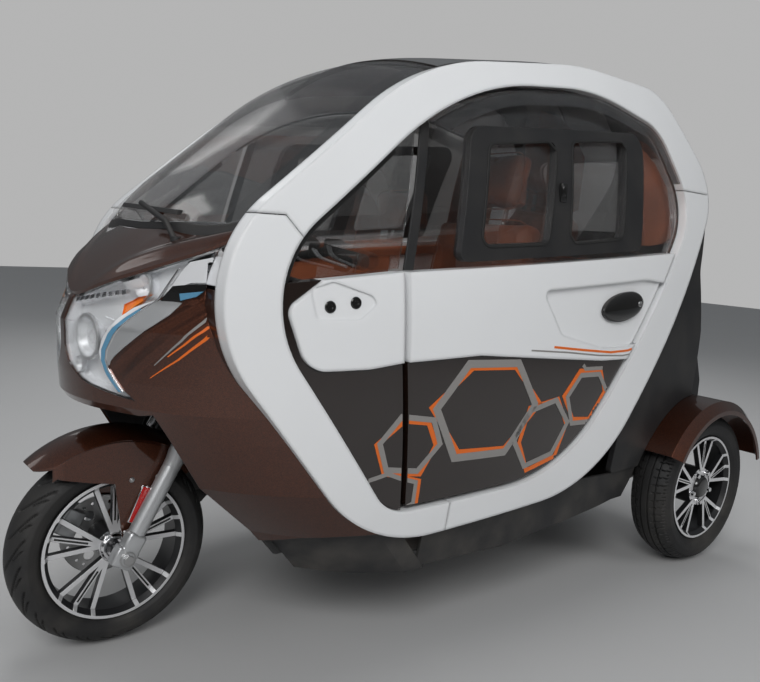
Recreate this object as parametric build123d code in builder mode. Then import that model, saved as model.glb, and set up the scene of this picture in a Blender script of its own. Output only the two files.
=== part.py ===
"""Enclosed electric three wheeled car: one steered front wheel, two driven rear wheels, two hinged doors."""

import os
from math import atan2, cos, degrees, hypot, radians, sin

from build123d import *

# Driving dimensions, in millimetres. Stations run back from the front axle, heights run up from the ground.
FRONT_AXLE_Y = -889
WHEELBASE = 1730
FRONT_TYRE_R = 231
FRONT_TYRE_WIDTH = 110
REAR_TYRE_R = 245
REAR_TYRE_WIDTH = 132
REAR_WHEEL_X = 455
RIM_R = 166
RIM_BARREL_R = 157
RIM_LIP_R = 159
HALF_WIDTH = 560
REAR_END = 1120
RAKE = 28.8
AXIS_SETBACK = 35
STEM_R = 16
STEM_BORE_R = 16.05
AXLE_R = 8
AXLE_BORE_R = 8.05
STUB_R = 12
STUB_BORE_R = 12.05

# The widest station of the body, and how its side falls in from there and from the belt.
WIDEST_STATION = 950
WIDEST_HALF = 500
BELT_HEIGHT = 720
NOSE_FALL, NOSE_SPAN = 115, 950
TAIL_FALL, TAIL_SPAN = 40, 750
LEAN_FALL, LEAN_SPAN = 135, 700
TUCK_FALL, TUCK_SPAN = 35, 420
SIDE_STATIONS = (-120, 400, 950, 1375, 1800)
SIDE_HEIGHTS = (150, 435, 720, 1140, 1560)
REACH = 700

# How far the ring stands out of the side surface and how deep it goes, and the same for the panels.
RING_PROUD, RING_DEPTH = 10, 30
BELT_PROUD, BELT_DEPTH = 8, 34
SKIN_PROUD, SKIN_DEPTH = 0, 34
DOOR_GAP = 10
SPLIT_GAP = 14
RECESS_DEPTH = 12
HANDLE_PROUD = 6

# Corners of the white ring in side view: station, height, corner radius.
RING_OUTER = [
    (-39, 873, 280),
    (418, 280, 339),
    (1175, 332, 444),
    (1780, 1187, 151),
    (1524, 1461, 203),
    (1110, 1463, 1000),
    (553, 1376, 674),
]
RING_INNER = [
    (103, 870, 230),
    (464, 360, 113),
    (1021, 388, 429),
    (1611, 1112, 160),
    (1466, 1341, 150),
    (1152, 1403, 799),
    (643, 1340, 837),
]
# How far each edge of the cabin stands out at the middle and falls in past the sides, in the ring's order.
CROWN_MIDDLE = (0, 0, 30, 35, 38, 44, 65)
CROWN_ENDS = (0, 0, 0, -14, -25, -29, -52)
CROWN_X = 450
WINDSCREEN_INSET = 3

# The tail behind the ring in side view: station, height, corner radius.
TAIL = [
    (1300, 335, 20),
    (1716, 335, 40),
    (1724, 745, 20),
    (1697, 932, 80),
    (1780, 1187, 151),
    (1524, 1461, 203),
    (1300, 1461, 50),
]
TAIL_MIDDLE = (0, 24, 24, 24, 32, 36, 0)
TAIL_ENDS = (0, -4, -4, -4, -14, -24, 0)

# The nose in plan at rising heights: height, station of the tip, half width of the side, station of the side.
NOSE = [
    (190, 230, 436, 560),
    (300, 140, 446, 470),
    (420, 12, 440, 330),
    (540, -62, 427, 230),
    (600, -103, 420, 190),
    (655, -108, 413, 165),
    (763, -112, 406, 150),
    (822, -89, 402, 150),
    (1010, -89, 391, 150),
]
TIP_HALF, TIP_DROP = 120, 22
NOSE_BACK = 60

# The hood's top: distance from the middle, station and height of its front edge, then of its rear edge.
HOOD = [
    (0, -89, 822, 40, 965),
    (137, -60, 858, 60, 968),
    (234, -9, 893, 90, 971),
    (319, 59, 932, 115, 973),
    (400, 140, 980, 165, 998),
]
HOOD_THICK = 6
HOOD_AHEAD, HOOD_BEHIND, HOOD_CEILING = 90, 700, 1600
STRIP_HEIGHT = 16

# The line where door and front quarter meet.
SPLIT_LINE = [(530, 250), (508, 390), (472, 713), (466, 908), (552, 1330)]

# Wheel spokes: turn of the group's middle, then the splay of each bar of the group.
SPOKE_GROUPS = 5
SPOKE_SPLAY = (-17, 0, 17)
SPOKE_ROOT = 0.25
SPOKE_WIDTH = 11

SIDE = Plane(origin=(0, FRONT_AXLE_Y, 0), x_dir=(0, 1, 0), z_dir=(1, 0, 0))


def y_at(station):
    return FRONT_AXLE_Y + station


def half_width(station, height):
    """Half width of the body's side surface at a station and a height."""
    if station < WIDEST_STATION:
        plan = NOSE_FALL * ((WIDEST_STATION - station) / NOSE_SPAN) ** 2
    else:
        plan = TAIL_FALL * ((station - WIDEST_STATION) / TAIL_SPAN) ** 2
    if height > BELT_HEIGHT:
        lean = LEAN_FALL * ((height - BELT_HEIGHT) / LEAN_SPAN) ** 2
    else:
        lean = TUCK_FALL * ((BELT_HEIGHT - height) / TUCK_SPAN) ** 2
    return WIDEST_HALF - plan - lean


def grown(rows, amounts):
    """Moves each edge of a counterclockwise outline out by its amount. Edge k runs from corner k to the next."""
    count = len(rows)
    if not isinstance(amounts, (list, tuple)):
        amounts = [amounts] * count
    lines = []
    for k in range(count):
        s0, z0, _ = rows[k]
        s1, z1, _ = rows[(k + 1) % count]
        length = hypot(s1 - s0, z1 - z0)
        ns, nz = (z1 - z0) / length, (s0 - s1) / length
        lines.append((ns, nz, ns * s0 + nz * z0 + amounts[k]))
    moved = []
    for k in range(count):
        a, b = lines[k - 1], lines[k]
        det = a[0] * b[1] - a[1] * b[0]
        s = (a[2] * b[1] - a[1] * b[2]) / det
        z = (a[0] * b[2] - a[2] * b[0]) / det
        moved.append((s, z, max(rows[k][2] + (amounts[k - 1] + amounts[k]) / 2, 2)))
    return moved


def rounded_outline(rows):
    """Draws a closed outline of lines and arcs from rows of station, height and radius, inside BuildLine."""
    count = len(rows)
    ends = []
    for k in range(count):
        here, back, ahead = Vector(*rows[k][:2]), Vector(*rows[k - 1][:2]), Vector(*rows[(k + 1) % count][:2])
        u, v = (back - here).normalized(), (ahead - here).normalized()
        half = radians(u.get_angle(v)) / 2
        bisector = (u + v).normalized()
        reach = rows[k][2] * cos(half) / sin(half)
        mid = here + bisector * (rows[k][2] / sin(half) - rows[k][2])
        ends.append((here + u * reach, mid, here + v * reach))
    for k in range(count):
        start, mid, end = ends[k]
        ThreePointArc(start, mid, end)
        Line(end, ends[(k + 1) % count][0])


def side_slab(proud, depth):
    """A slab that follows the left side of the body, from proud of its surface to depth inside it."""
    with BuildPart() as slab:
        for s in SIDE_STATIONS:
            with BuildSketch(Plane(origin=(0, y_at(s), 0), x_dir=(1, 0, 0), z_dir=(0, -1, 0))):
                with BuildLine():
                    outer = [(half_width(s, z) + proud, z) for z in SIDE_HEIGHTS]
                    inner = [(half_width(s, z) - depth, z) for z in SIDE_HEIGHTS]
                    ThreePointArc(outer[0], outer[1], outer[2])
                    ThreePointArc(outer[2], outer[3], outer[4])
                    Line(outer[4], inner[4])
                    ThreePointArc(inner[4], inner[3], inner[2])
                    ThreePointArc(inner[2], inner[1], inner[0])
                    Line(inner[0], outer[0])
                make_face()
        loft()
    return slab.part


def side_core(depth):
    """The whole width of the body between its two sides, each moved in by depth."""
    with BuildPart() as core:
        for s in SIDE_STATIONS:
            with BuildSketch(Plane(origin=(0, y_at(s), 0), x_dir=(1, 0, 0), z_dir=(0, -1, 0))):
                with BuildLine():
                    edge = [(half_width(s, z) - depth, z) for z in SIDE_HEIGHTS]
                    far = [(-x, z) for x, z in edge]
                    ThreePointArc(edge[0], edge[1], edge[2])
                    ThreePointArc(edge[2], edge[3], edge[4])
                    Line(edge[4], far[4])
                    ThreePointArc(far[4], far[3], far[2])
                    ThreePointArc(far[2], far[1], far[0])
                    Line(far[0], edge[0])
                make_face()
        loft()
    return core.part


def crowned(rows, middle, ends, inset):
    """An outline in side view lofted across the body, full at the middle and falling in past the sides."""
    with BuildPart() as body:
        for x, amounts in ((-CROWN_X, ends), (0, middle), (CROWN_X, ends)):
            with BuildSketch(Plane(origin=(x, FRONT_AXLE_Y, 0), x_dir=(0, 1, 0), z_dir=(1, 0, 0))):
                with BuildLine():
                    rounded_outline(grown(rows, [a - inset for a in amounts]))
                make_face()
        loft()
    return body.part


def nose_form(inset):
    """The nose lofted from outlines in plan: a blunt tip, an arc down each side and a straight back."""
    radius = (TIP_HALF**2 + TIP_DROP**2) / (2 * TIP_DROP)
    run_s = TIP_HALF / radius
    run_x = (1 - run_s**2) ** 0.5
    with BuildPart() as form:
        for z, tip, wide, side in NOSE:
            front, ends, wide = y_at(tip + inset), y_at(tip + inset + TIP_DROP), wide - inset
            back = y_at(side + NOSE_BACK)
            with BuildSketch(Plane.XY.offset(z)):
                with BuildLine():
                    ThreePointArc((-TIP_HALF, ends), (0, front), (TIP_HALF, ends))
                    TangentArc((TIP_HALF, ends), (wide, y_at(side)), tangent=(run_x, run_s))
                    Polyline((wide, y_at(side)), (wide, back), (-wide, back), (-wide, y_at(side)))
                    TangentArc((-TIP_HALF, ends), (-wide, y_at(side)), tangent=(-run_x, run_s))
                make_face()
        loft(ruled=True)
    return form.part


def above_hood(lift):
    """Everything above the hood's top, which is moved up by lift, carried on ahead and run level behind."""
    with BuildPart() as block:
        for x, s0, z0, s1, z1 in [(-x, *rest) for x, *rest in HOOD[:0:-1]] + HOOD:
            ahead = HOOD_AHEAD / (s1 - s0)
            start, low = s0 - ahead * (s1 - s0), z0 - ahead * (z1 - z0)
            with BuildSketch(Plane(origin=(x, FRONT_AXLE_Y, 0), x_dir=(0, 1, 0), z_dir=(1, 0, 0))):
                with BuildLine():
                    Polyline(
                        (start, low + lift), (s1, z1 + lift), (HOOD_BEHIND, z1 + lift),
                        (HOOD_BEHIND, HOOD_CEILING),
                        (start, HOOD_CEILING), close=True,
                    )
                make_face()
        loft(ruled=True)
    return block.part


def prism(points, reach=REACH):
    """A polygon in side view carried right across the body."""
    with BuildPart() as block:
        with BuildSketch(SIDE):
            with BuildLine():
                Polyline(*points, close=True)
            make_face()
        extrude(amount=reach, both=True)
    return block.part


def ring_prism(rows, reach=REACH):
    """An outline with rounded corners in side view carried right across the body."""
    with BuildPart() as block:
        with BuildSketch(SIDE):
            with BuildLine():
                rounded_outline(rows)
            make_face()
        extrude(amount=reach, both=True)
    return block.part


def tube(points, radius):
    """Round tube along straight runs, with a ball at each inner corner. Used inside BuildPart."""
    for a, b in zip(points[:-1], points[1:]):
        run = Vector(*b) - Vector(*a)
        with Locations(Plane(origin=a, z_dir=run.normalized())):
            Cylinder(radius, run.length, align=(Align.CENTER, Align.CENTER, Align.MIN))
    for p in points[1:-1]:
        with Locations(p):
            Sphere(radius)


def axis_point(along, x=0, back=AXIS_SETBACK):
    """A point on the steering axis, or beside it, at a distance up from the axle."""
    s = along * sin(radians(RAKE)) + back * cos(radians(RAKE))
    z = FRONT_TYRE_R + along * cos(radians(RAKE)) - back * sin(radians(RAKE))
    return (x, y_at(s), z)


def fork_plane(along, x=0, back=AXIS_SETBACK):
    """A plane square to the steering axis."""
    return Plane(
        origin=axis_point(along, x, back), x_dir=(1, 0, 0), z_dir=(0, sin(radians(RAKE)), cos(radians(RAKE)))
    )


def finish(part, name):
    part.label = name
    export_step(part, f"parts/{name}.step")


os.makedirs("parts", exist_ok=True)

skin_slab = side_slab(SKIN_PROUD, SKIN_DEPTH)
belt_slab = side_slab(BELT_PROUD, BELT_DEPTH)
ring_slab = side_slab(RING_PROUD, RING_DEPTH)
glass_slab = side_slab(-14, 19)
window_slab = side_slab(2, 24)
pane_slab = side_slab(-10, 14)
visor_slab = side_slab(10, -7)
visor_lip_slab = side_slab(10, 14)
recess_slab = side_slab(BELT_PROUD + 6, RECESS_DEPTH - BELT_PROUD)
handle_slab = side_slab(HANDLE_PROUD, RECESS_DEPTH - BELT_PROUD)
tub_slab = side_slab(-19, 28)
tail_slab = side_slab(-12, 30)
core = side_core(RING_DEPTH + 0.5)
ring_block = ring_prism(RING_OUTER)
door_opening = grown(RING_INNER, -DOOR_GAP)

# The white ring: front piece round the nose, rear piece under the door and up behind it, top rail.
RING_CUTS = {
    "ring_front": [
        (-200, 1010), (190, 1010), (300, 880), (500, 880), (500, 450), (640, 450), (640, 150), (-200, 150),
    ],
    "ring_rear": [(642, 150), (642, 520), (1000, 640), (1300, 1170), (2000, 1170), (2000, 150)],
    "ring_top": [
        (-200, 1012), (191, 1012), (301, 882), (700, 882), (1300, 1172), (2000, 1172), (2000, 1700), (-200, 1700),
    ],
}
for name, region in RING_CUTS.items():
    with BuildPart() as ring_piece:
        with BuildSketch(SIDE):
            with BuildLine():
                rounded_outline(RING_OUTER)
            make_face()
            with BuildLine():
                rounded_outline(RING_INNER)
            make_face(mode=Mode.SUBTRACT)
            with BuildLine():
                Polyline(*region, close=True)
            make_face(mode=Mode.INTERSECT)
        extrude(amount=REACH)
        add(ring_slab, mode=Mode.INTERSECT)
        mirror(about=Plane.YZ)
    finish(ring_piece.part, name)

# Crowned cabin shells: windscreen, roof, rear panel with its window.
cabin_outer = crowned(RING_OUTER, CROWN_MIDDLE, CROWN_ENDS, 0)
cabin_roof_inner = crowned(RING_OUTER, CROWN_MIDDLE, CROWN_ENDS, 14)
glass_outer = crowned(RING_OUTER, CROWN_MIDDLE, CROWN_ENDS, WINDSCREEN_INSET)
glass_inner = crowned(RING_OUTER, CROWN_MIDDLE, CROWN_ENDS, WINDSCREEN_INSET + 6)

windscreen_foot = above_hood(STRIP_HEIGHT + 1)
with BuildPart() as windscreen:
    add(glass_outer)
    add(glass_inner, mode=Mode.SUBTRACT)
    add(core, mode=Mode.INTERSECT)
    add(prism([(-120, 800), (300, 800), (640, 1290), (600, 1520), (-120, 1520)]), mode=Mode.INTERSECT)
    add(windscreen_foot, mode=Mode.INTERSECT)
finish(windscreen.part, "windscreen")

with BuildPart() as roof_panel:
    add(cabin_outer)
    add(cabin_roof_inner, mode=Mode.SUBTRACT)
    add(core, mode=Mode.INTERSECT)
    roof_region = [(601, 1520), (641, 1291), (1500, 1291), (1660, 1480), (1700, 1560), (601, 1560)]
    add(prism(roof_region), mode=Mode.INTERSECT)
finish(roof_panel.part, "roof_panel")

with BuildPart() as cowl_strip:
    add(glass_outer)
    add(glass_inner, mode=Mode.SUBTRACT)
    add(core, mode=Mode.INTERSECT)
    add(prism([(-120, 800), (300, 800), (300, 1100), (-120, 1100)]), mode=Mode.INTERSECT)
    add(above_hood(0), mode=Mode.INTERSECT)
    add(above_hood(STRIP_HEIGHT), mode=Mode.SUBTRACT)

ARCH_R = 288
ARCH_X = 376


def cut_arches():
    """Clears the rear wheels' round arches out of the open part. Used inside BuildPart."""
    for sign in (-1, 1):
        with Locations(Plane(origin=(sign * ARCH_X, y_at(WHEELBASE), REAR_TYRE_R), z_dir=(sign, 0, 0))):
            Cylinder(ARCH_R, 300, align=(Align.CENTER, Align.CENTER, Align.MIN), mode=Mode.SUBTRACT)


tail_outer = crowned(TAIL, TAIL_MIDDLE, TAIL_ENDS, 0)
tail_inner = crowned(TAIL, TAIL_MIDDLE, TAIL_ENDS, 10)
rear_region = prism(
    [(1500, 1289), (1660, 1478), (1720, 1560), (1950, 1400), (1950, 382), (1640, 382), (1640, 1100)]
)
with BuildPart() as rear_shell:
    add(tail_outer)
    add(tail_inner, mode=Mode.SUBTRACT)
    add(core, mode=Mode.INTERSECT)
    add(rear_region, mode=Mode.INTERSECT)
with BuildPart() as rear_panel:
    add(rear_shell.part)
    with BuildSketch(Plane.XZ):
        with Locations((0, 1165)):
            RectangleRounded(560, 250, 60)
    extrude(amount=-1500, mode=Mode.SUBTRACT)
    cut_arches()
finish(rear_panel.part, "rear_panel")
with BuildPart() as rear_window:
    add(rear_shell.part)
    with BuildSketch(Plane.XZ):
        with Locations((0, 1165)):
            RectangleRounded(558, 248, 59)
    extrude(amount=-1500, mode=Mode.INTERSECT)
finish(rear_window.part, "rear_window")

with BuildPart() as rear_quarters:
    with BuildSketch(SIDE):
        with BuildLine():
            rounded_outline(TAIL)
        make_face()
        with BuildLine():
            rounded_outline(RING_OUTER)
        make_face(mode=Mode.SUBTRACT)
    extrude(amount=REACH)
    add(tail_slab, mode=Mode.INTERSECT)
    mirror(about=Plane.YZ)
    cut_arches()
finish(rear_quarters.part, "rear_quarters")
FRONT_LINE = [(s - SPLIT_GAP / 2, z) for s, z in SPLIT_LINE]
BACK_LINE = [(s + SPLIT_GAP / 2, z) for s, z in SPLIT_LINE]
quarter_opening = grown(RING_INNER, -1)

# Front quarters: slab, side view region, outline kept, outline cut away, places of the round plugs.
PLUG_R = 13
PLUG_GAP = 0.6
QUARTER_GAP = 1.5
PLUG_BED = [(255, 806, 14), (352, 806, 22), (394, 838, 12), (380, 857, 14), (290, 884, 20), (240, 868, 14)]
PLUG_BED_DEPTH = 3
QUARTER_BELT = [
    (500, 912, 3), (305, 911, 120), (193, 828, 30), (239, 699, 60), (380, 701, 200), (500, 717, 3),
]
UNDER_GLASS = [(60, 100), *FRONT_LINE[:3], (FRONT_LINE[3][0], 908), (150, 872), (60, 861)]
QUARTER_PANELS = {
    "quarter_skirts": (skin_slab, UNDER_GLASS, None, grown(QUARTER_BELT, QUARTER_GAP), ()),
    "quarter_belts": (belt_slab, UNDER_GLASS, QUARTER_BELT, None, ((285, 832), (343, 841))),
    "quarter_glass": (
        glass_slab,
        [(60, 862), (150, 874), (FRONT_LINE[3][0], 914), FRONT_LINE[4], (60, 1330)],
        None,
        None,
        (),
    ),
}
with BuildPart() as plug_bed:
    with BuildSketch(SIDE):
        with BuildLine():
            rounded_outline(PLUG_BED)
        make_face()
    extrude(amount=REACH)
    add(side_slab(BELT_PROUD + 6, PLUG_BED_DEPTH - BELT_PROUD), mode=Mode.INTERSECT)
for name, (slab, region, kept, cut, plugs) in QUARTER_PANELS.items():
    with BuildPart() as quarter:
        with BuildSketch(SIDE):
            with BuildLine():
                rounded_outline(quarter_opening)
            make_face()
            with BuildLine():
                Polyline(*region, close=True)
            make_face(mode=Mode.INTERSECT)
            if kept:
                with BuildLine():
                    rounded_outline(kept)
                make_face(mode=Mode.INTERSECT)
            if cut:
                with BuildLine():
                    rounded_outline(cut)
                make_face(mode=Mode.SUBTRACT)
            if plugs:
                with Locations(*plugs):
                    Circle(PLUG_R, mode=Mode.SUBTRACT)
                    Circle(PLUG_R - PLUG_GAP)
        extrude(amount=REACH)
        add(slab, mode=Mode.INTERSECT)
        if plugs:
            add(plug_bed.part, mode=Mode.SUBTRACT)
        mirror(about=Plane.YZ)
    finish(quarter.part, name)

# Doors: dark lower skin, white belt panel, dark glass, sliding-window frame, handle.
WINDOW_FRAME = [(611, 933, 20), (1306, 985, 30), (1372, 1315, 45), (672, 1246, 55)]
WINDOW_PANES = (
    [(681, 975, 14), (901, 990, 14), (960, 1240, 14), (727, 1210, 14)],
    [(988, 994, 14), (1216, 1014, 14), (1276, 1278, 14), (1030, 1249, 14)],
)
HANDLE_PLACE = (1222, 830)
HANDLE_SIZE = (190, 76)
HANDLE_TILT = 8
RECESS = [(954, 762, 40), (1129, 721, 60), (1282, 722, 60), (1462, 893, 14), (1330, 904, 200), (878, 872, 14)]
PANEL_EDGE = [BACK_LINE[2], (680, 722), (1134, 688), (1300, 685), (1390, 770), (1560, 988)]
DOOR_BELT = PANEL_EDGE + [BACK_LINE[3]]
DOOR_LOW = PANEL_EDGE[::-1] + [BACK_LINE[1], BACK_LINE[0], (1800, 250), (1800, 988)]
POST_WIDTH = 24
POST = [
    (BACK_LINE[3][0], 911), (BACK_LINE[3][0] + POST_WIDTH, 912), (BACK_LINE[4][0] + POST_WIDTH, 1330), BACK_LINE[4],
]
DOOR_TOP = [POST[1], (1560, 991), (1800, 1009), (1800, 1500), (600, 1500), POST[2]]
VISOR_REGION = [(560, 1180), (1100, 1300), (1420, 1180), (1640, 1195), (1700, 1500), (560, 1500)]
VISOR_WIDTH = 36
VISOR_LIP = 7

with BuildPart() as window_panes:
    for pane in WINDOW_PANES:
        with BuildSketch(SIDE):
            with BuildLine():
                rounded_outline(pane)
            make_face()
        extrude(amount=REACH)
    add(pane_slab, mode=Mode.INTERSECT)


def visor_layer(inner, slab):
    """The band along the top of the door from its edge in to an inner outline, as thick as the slab."""
    with BuildPart() as layer:
        with BuildSketch(SIDE):
            with BuildLine():
                rounded_outline(door_opening)
            make_face()
            with BuildLine():
                rounded_outline(inner)
            make_face(mode=Mode.SUBTRACT)
            with BuildLine():
                Polyline(*VISOR_REGION, close=True)
            make_face(mode=Mode.INTERSECT)
        extrude(amount=REACH)
        add(slab, mode=Mode.INTERSECT)
    return layer.part


with BuildPart() as visor:
    add(visor_layer(grown(RING_INNER, -DOOR_GAP - VISOR_WIDTH), visor_slab))
    add(visor_layer(grown(RING_INNER, -DOOR_GAP - VISOR_LIP), visor_lip_slab))

with BuildPart() as recess:
    with BuildSketch(SIDE):
        with BuildLine():
            rounded_outline(RECESS)
        make_face()
    extrude(amount=REACH)
    add(recess_slab, mode=Mode.INTERSECT)

with BuildPart() as handle:
    with BuildSketch(SIDE):
        with Locations(HANDLE_PLACE):
            Ellipse(HANDLE_SIZE[0] / 2, HANDLE_SIZE[1] / 2, rotation=HANDLE_TILT)
    extrude(amount=REACH)
    add(handle_slab, mode=Mode.INTERSECT)

with BuildPart() as post:
    with BuildSketch(SIDE):
        with BuildLine():
            rounded_outline(door_opening)
        make_face()
        with BuildLine():
            Polyline(*POST, close=True)
        make_face(mode=Mode.INTERSECT)
    extrude(amount=REACH)
    add(glass_slab, mode=Mode.INTERSECT)


def door_piece(region, slab, name, side, cuts=(), rounded=None, more=(), less=()):
    """One layer of a door: the door's outline with a region of it kept, as thick as its slab."""
    with BuildPart() as piece:
        with BuildSketch(SIDE):
            with BuildLine():
                rounded_outline(rounded or door_opening)
            make_face()
            if region:
                with BuildLine():
                    Polyline(*region, close=True)
                make_face(mode=Mode.INTERSECT)
            for cut in cuts:
                with BuildLine():
                    rounded_outline(cut)
                make_face(mode=Mode.SUBTRACT)
        extrude(amount=REACH)
        add(slab, mode=Mode.INTERSECT)
        for solid in less:
            add(solid, mode=Mode.SUBTRACT)
        for solid in more:
            add(solid)
    part = piece.part if side == "left" else mirror(piece.part, about=Plane.YZ, mode=Mode.PRIVATE)
    finish(part, f"{name}_{side}")


for side in ("left", "right"):
    door_piece(DOOR_LOW, skin_slab, "door_skin", side)
    door_piece(DOOR_BELT, belt_slab, "door_belt", side, less=[recess.part])
    door_piece(
        DOOR_TOP, glass_slab, "door_glass", side, cuts=[WINDOW_FRAME], more=[window_panes.part, visor.part]
    )
    door_piece(
        None, window_slab, "door_trim", side, cuts=WINDOW_PANES, rounded=WINDOW_FRAME,
        more=[post.part, handle.part],
    )

# Nose: cowl shell, hood, headlamp lenses, all cut from one form.
nose_outer = nose_form(0)
nose_inner = nose_form(6)
WELL_HALF = 250
WELL = [(-300, 150), (352, 150), (348, 520), (300, 655), (150, 655), (-20, 585), (-300, 585)]
WELL_WALL = 6

# Left headlamp lens seen from ahead: distance from the middle, height.
LAMP = [
    (12, 1000), (12, 706), (30, 675), (80, 644), (112, 634), (190, 621), (222, 618), (181, 651), (154, 681),
    (145, 709), (153, 735), (185, 784), (209, 807), (253, 830), (284, 859), (337, 866), (420, 896), (420, 1000),
]
with BuildPart() as lamp_zone:
    with BuildSketch(Plane.XZ.offset(-y_at(0))):
        with BuildLine():
            Polyline(*LAMP, close=True)
        make_face()
    extrude(amount=300, both=True)
    mirror(about=Plane.YZ)

BELLY_INSET = 20
UNDER_COWL = prism([(-300, 100), (-300, 268), (244, 268), (309, 298), (376, 309), (660, 338), (660, 100)])
with BuildPart() as nose_belly:
    add(nose_form(BELLY_INSET))
    add(nose_form(BELLY_INSET + 6), mode=Mode.SUBTRACT)
    add(UNDER_COWL, mode=Mode.INTERSECT)
    add(ring_block, mode=Mode.SUBTRACT)
    well_foot = prism([(-300, 100), (359, 100), (359, 400), (-300, 400)], WELL_HALF + WELL_WALL + 1)
    add(well_foot, mode=Mode.SUBTRACT)

with BuildPart() as nose_ahead:
    add(nose_outer)
    add(ring_block, mode=Mode.SUBTRACT)
    add(UNDER_COWL, mode=Mode.SUBTRACT)
    with BuildSketch(SIDE):
        with BuildLine():
            Polyline(*WELL, close=True)
        make_face()
    extrude(amount=WELL_HALF, both=True, mode=Mode.SUBTRACT)

with BuildPart() as hood:
    add(nose_ahead.part)
    add(above_hood(-HOOD_THICK), mode=Mode.INTERSECT)
    add(above_hood(0), mode=Mode.SUBTRACT)
    add(cabin_outer, mode=Mode.SUBTRACT)
finish(hood.part, "hood")

with BuildPart() as nose_skin:
    add(nose_ahead.part)
    add(nose_inner, mode=Mode.SUBTRACT)
    add(above_hood(-HOOD_THICK - 1), mode=Mode.SUBTRACT)

with BuildPart() as nose_cowl:
    add(nose_skin.part)
    add(lamp_zone.part, mode=Mode.SUBTRACT)
finish(nose_cowl.part, "nose_cowl")

with BuildPart() as headlamps:
    add(nose_skin.part)
    add(lamp_zone.part, mode=Mode.INTERSECT)
finish(headlamps.part, "headlamps")

# The wiper, parked over the foot of the glass: its blade as a band on the glass, then its arm and pivot.
BLADE = [
    (-150, 1014), (-60, 1011), (60, 1006), (175, 1000), (175, 1010), (60, 1016), (-60, 1021), (-150, 1024),
]
BLADE_PROUD = (2, 12)
ARM = [(205, 56, 940), (163, 50, 985), (50, 40, 1022)]
ARM_R, PIVOT_R = 6, 13
with BuildPart() as blade:
    add(crowned(RING_OUTER, CROWN_MIDDLE, CROWN_ENDS, WINDSCREEN_INSET - BLADE_PROUD[1]))
    add(crowned(RING_OUTER, CROWN_MIDDLE, CROWN_ENDS, WINDSCREEN_INSET - BLADE_PROUD[0]), mode=Mode.SUBTRACT)
    with BuildSketch(Plane.XZ.offset(-y_at(0))):
        with BuildLine():
            Polyline(*BLADE, close=True)
        make_face()
    extrude(amount=REACH, both=True, mode=Mode.INTERSECT)
    add(prism([(-200, 940), (600, 940), (600, 1300), (-200, 1300)]), mode=Mode.INTERSECT)
with BuildPart() as wiper:
    add(cowl_strip.part)
    add(blade.part)
    with BuildPart(mode=Mode.PRIVATE) as arm:
        tube([(x, y_at(s), z) for x, s, z in ARM], ARM_R)
        with Locations((ARM[0][0], y_at(ARM[0][1]), ARM[0][2])):
            Cylinder(PIVOT_R, 30)
        add(glass_outer, mode=Mode.SUBTRACT)
        add(above_hood(0), mode=Mode.INTERSECT)
    add(arm.part)
finish(wiper.part, "cowl_strip")

# Floor tub: pan, front wall round the wheel well, side skirts under the ring.
TUB_SKIRT = [
    (600, 199), (623, 196), (887, 192), (1300, 232), (1420, 250), (1462, 333), (1300, 333), (600, 372),
]
PAN_START = 359
PAN = [
    (PAN_START, 232), (1440, 232), (1480, 372), (1716, 372), (1716, 380), (1474, 380), (1434, 240), (PAN_START, 240),
]
with BuildPart() as floor_tub:
    with BuildSketch(SIDE):
        with BuildLine():
            Polyline(*TUB_SKIRT, close=True)
        make_face()
        with BuildLine():
            rounded_outline(RING_OUTER)
        make_face(mode=Mode.SUBTRACT)
    extrude(amount=REACH)
    add(tub_slab, mode=Mode.INTERSECT)
    mirror(about=Plane.YZ)
    for start, end, outline in ((PAN_START, 575, nose_form(BELLY_INSET + 3)), (574, 1708, side_core(31))):
        with BuildPart(mode=Mode.PRIVATE) as pan:
            add(prism(PAN))
            add(prism([(start, 200), (end, 200), (end, 400), (start, 400)]), mode=Mode.INTERSECT)
            add(outline, mode=Mode.INTERSECT)
        add(pan.part)
    add(nose_belly.part)
    cut_arches()
    for x in (ARCH_X - WELL_WALL, -ARCH_X):
        with BuildSketch(Plane(origin=(x, FRONT_AXLE_Y, 0), x_dir=(0, 1, 0), z_dir=(1, 0, 0))):
            with BuildLine():
                Polyline((1440, 238), (1440, 560), (1704, 560), (1704, 376), (1480, 376), close=True)
            make_face()
        extrude(amount=WELL_WALL)
with BuildPart() as wheel_liner:
    with BuildSketch(SIDE):
        with BuildLine():
            Polyline(*[(s, z) for s, z, _ in grown([(s, z, 0) for s, z in WELL], WELL_WALL)], close=True)
        make_face()
    extrude(amount=WELL_HALF + WELL_WALL, both=True)
    with BuildSketch(SIDE):
        with BuildLine():
            Polyline(*WELL, close=True)
        make_face()
    extrude(amount=WELL_HALF, both=True, mode=Mode.SUBTRACT)
    add(nose_inner, mode=Mode.INTERSECT)
    add(prism([(-200, 232), (400, 232), (400, 700), (-200, 700)]), mode=Mode.INTERSECT)
    with BuildSketch(fork_plane(450)):
        Circle(34)
    extrude(amount=120, both=True, mode=Mode.SUBTRACT)
finish(wheel_liner.part, "wheel_liner")

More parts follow.
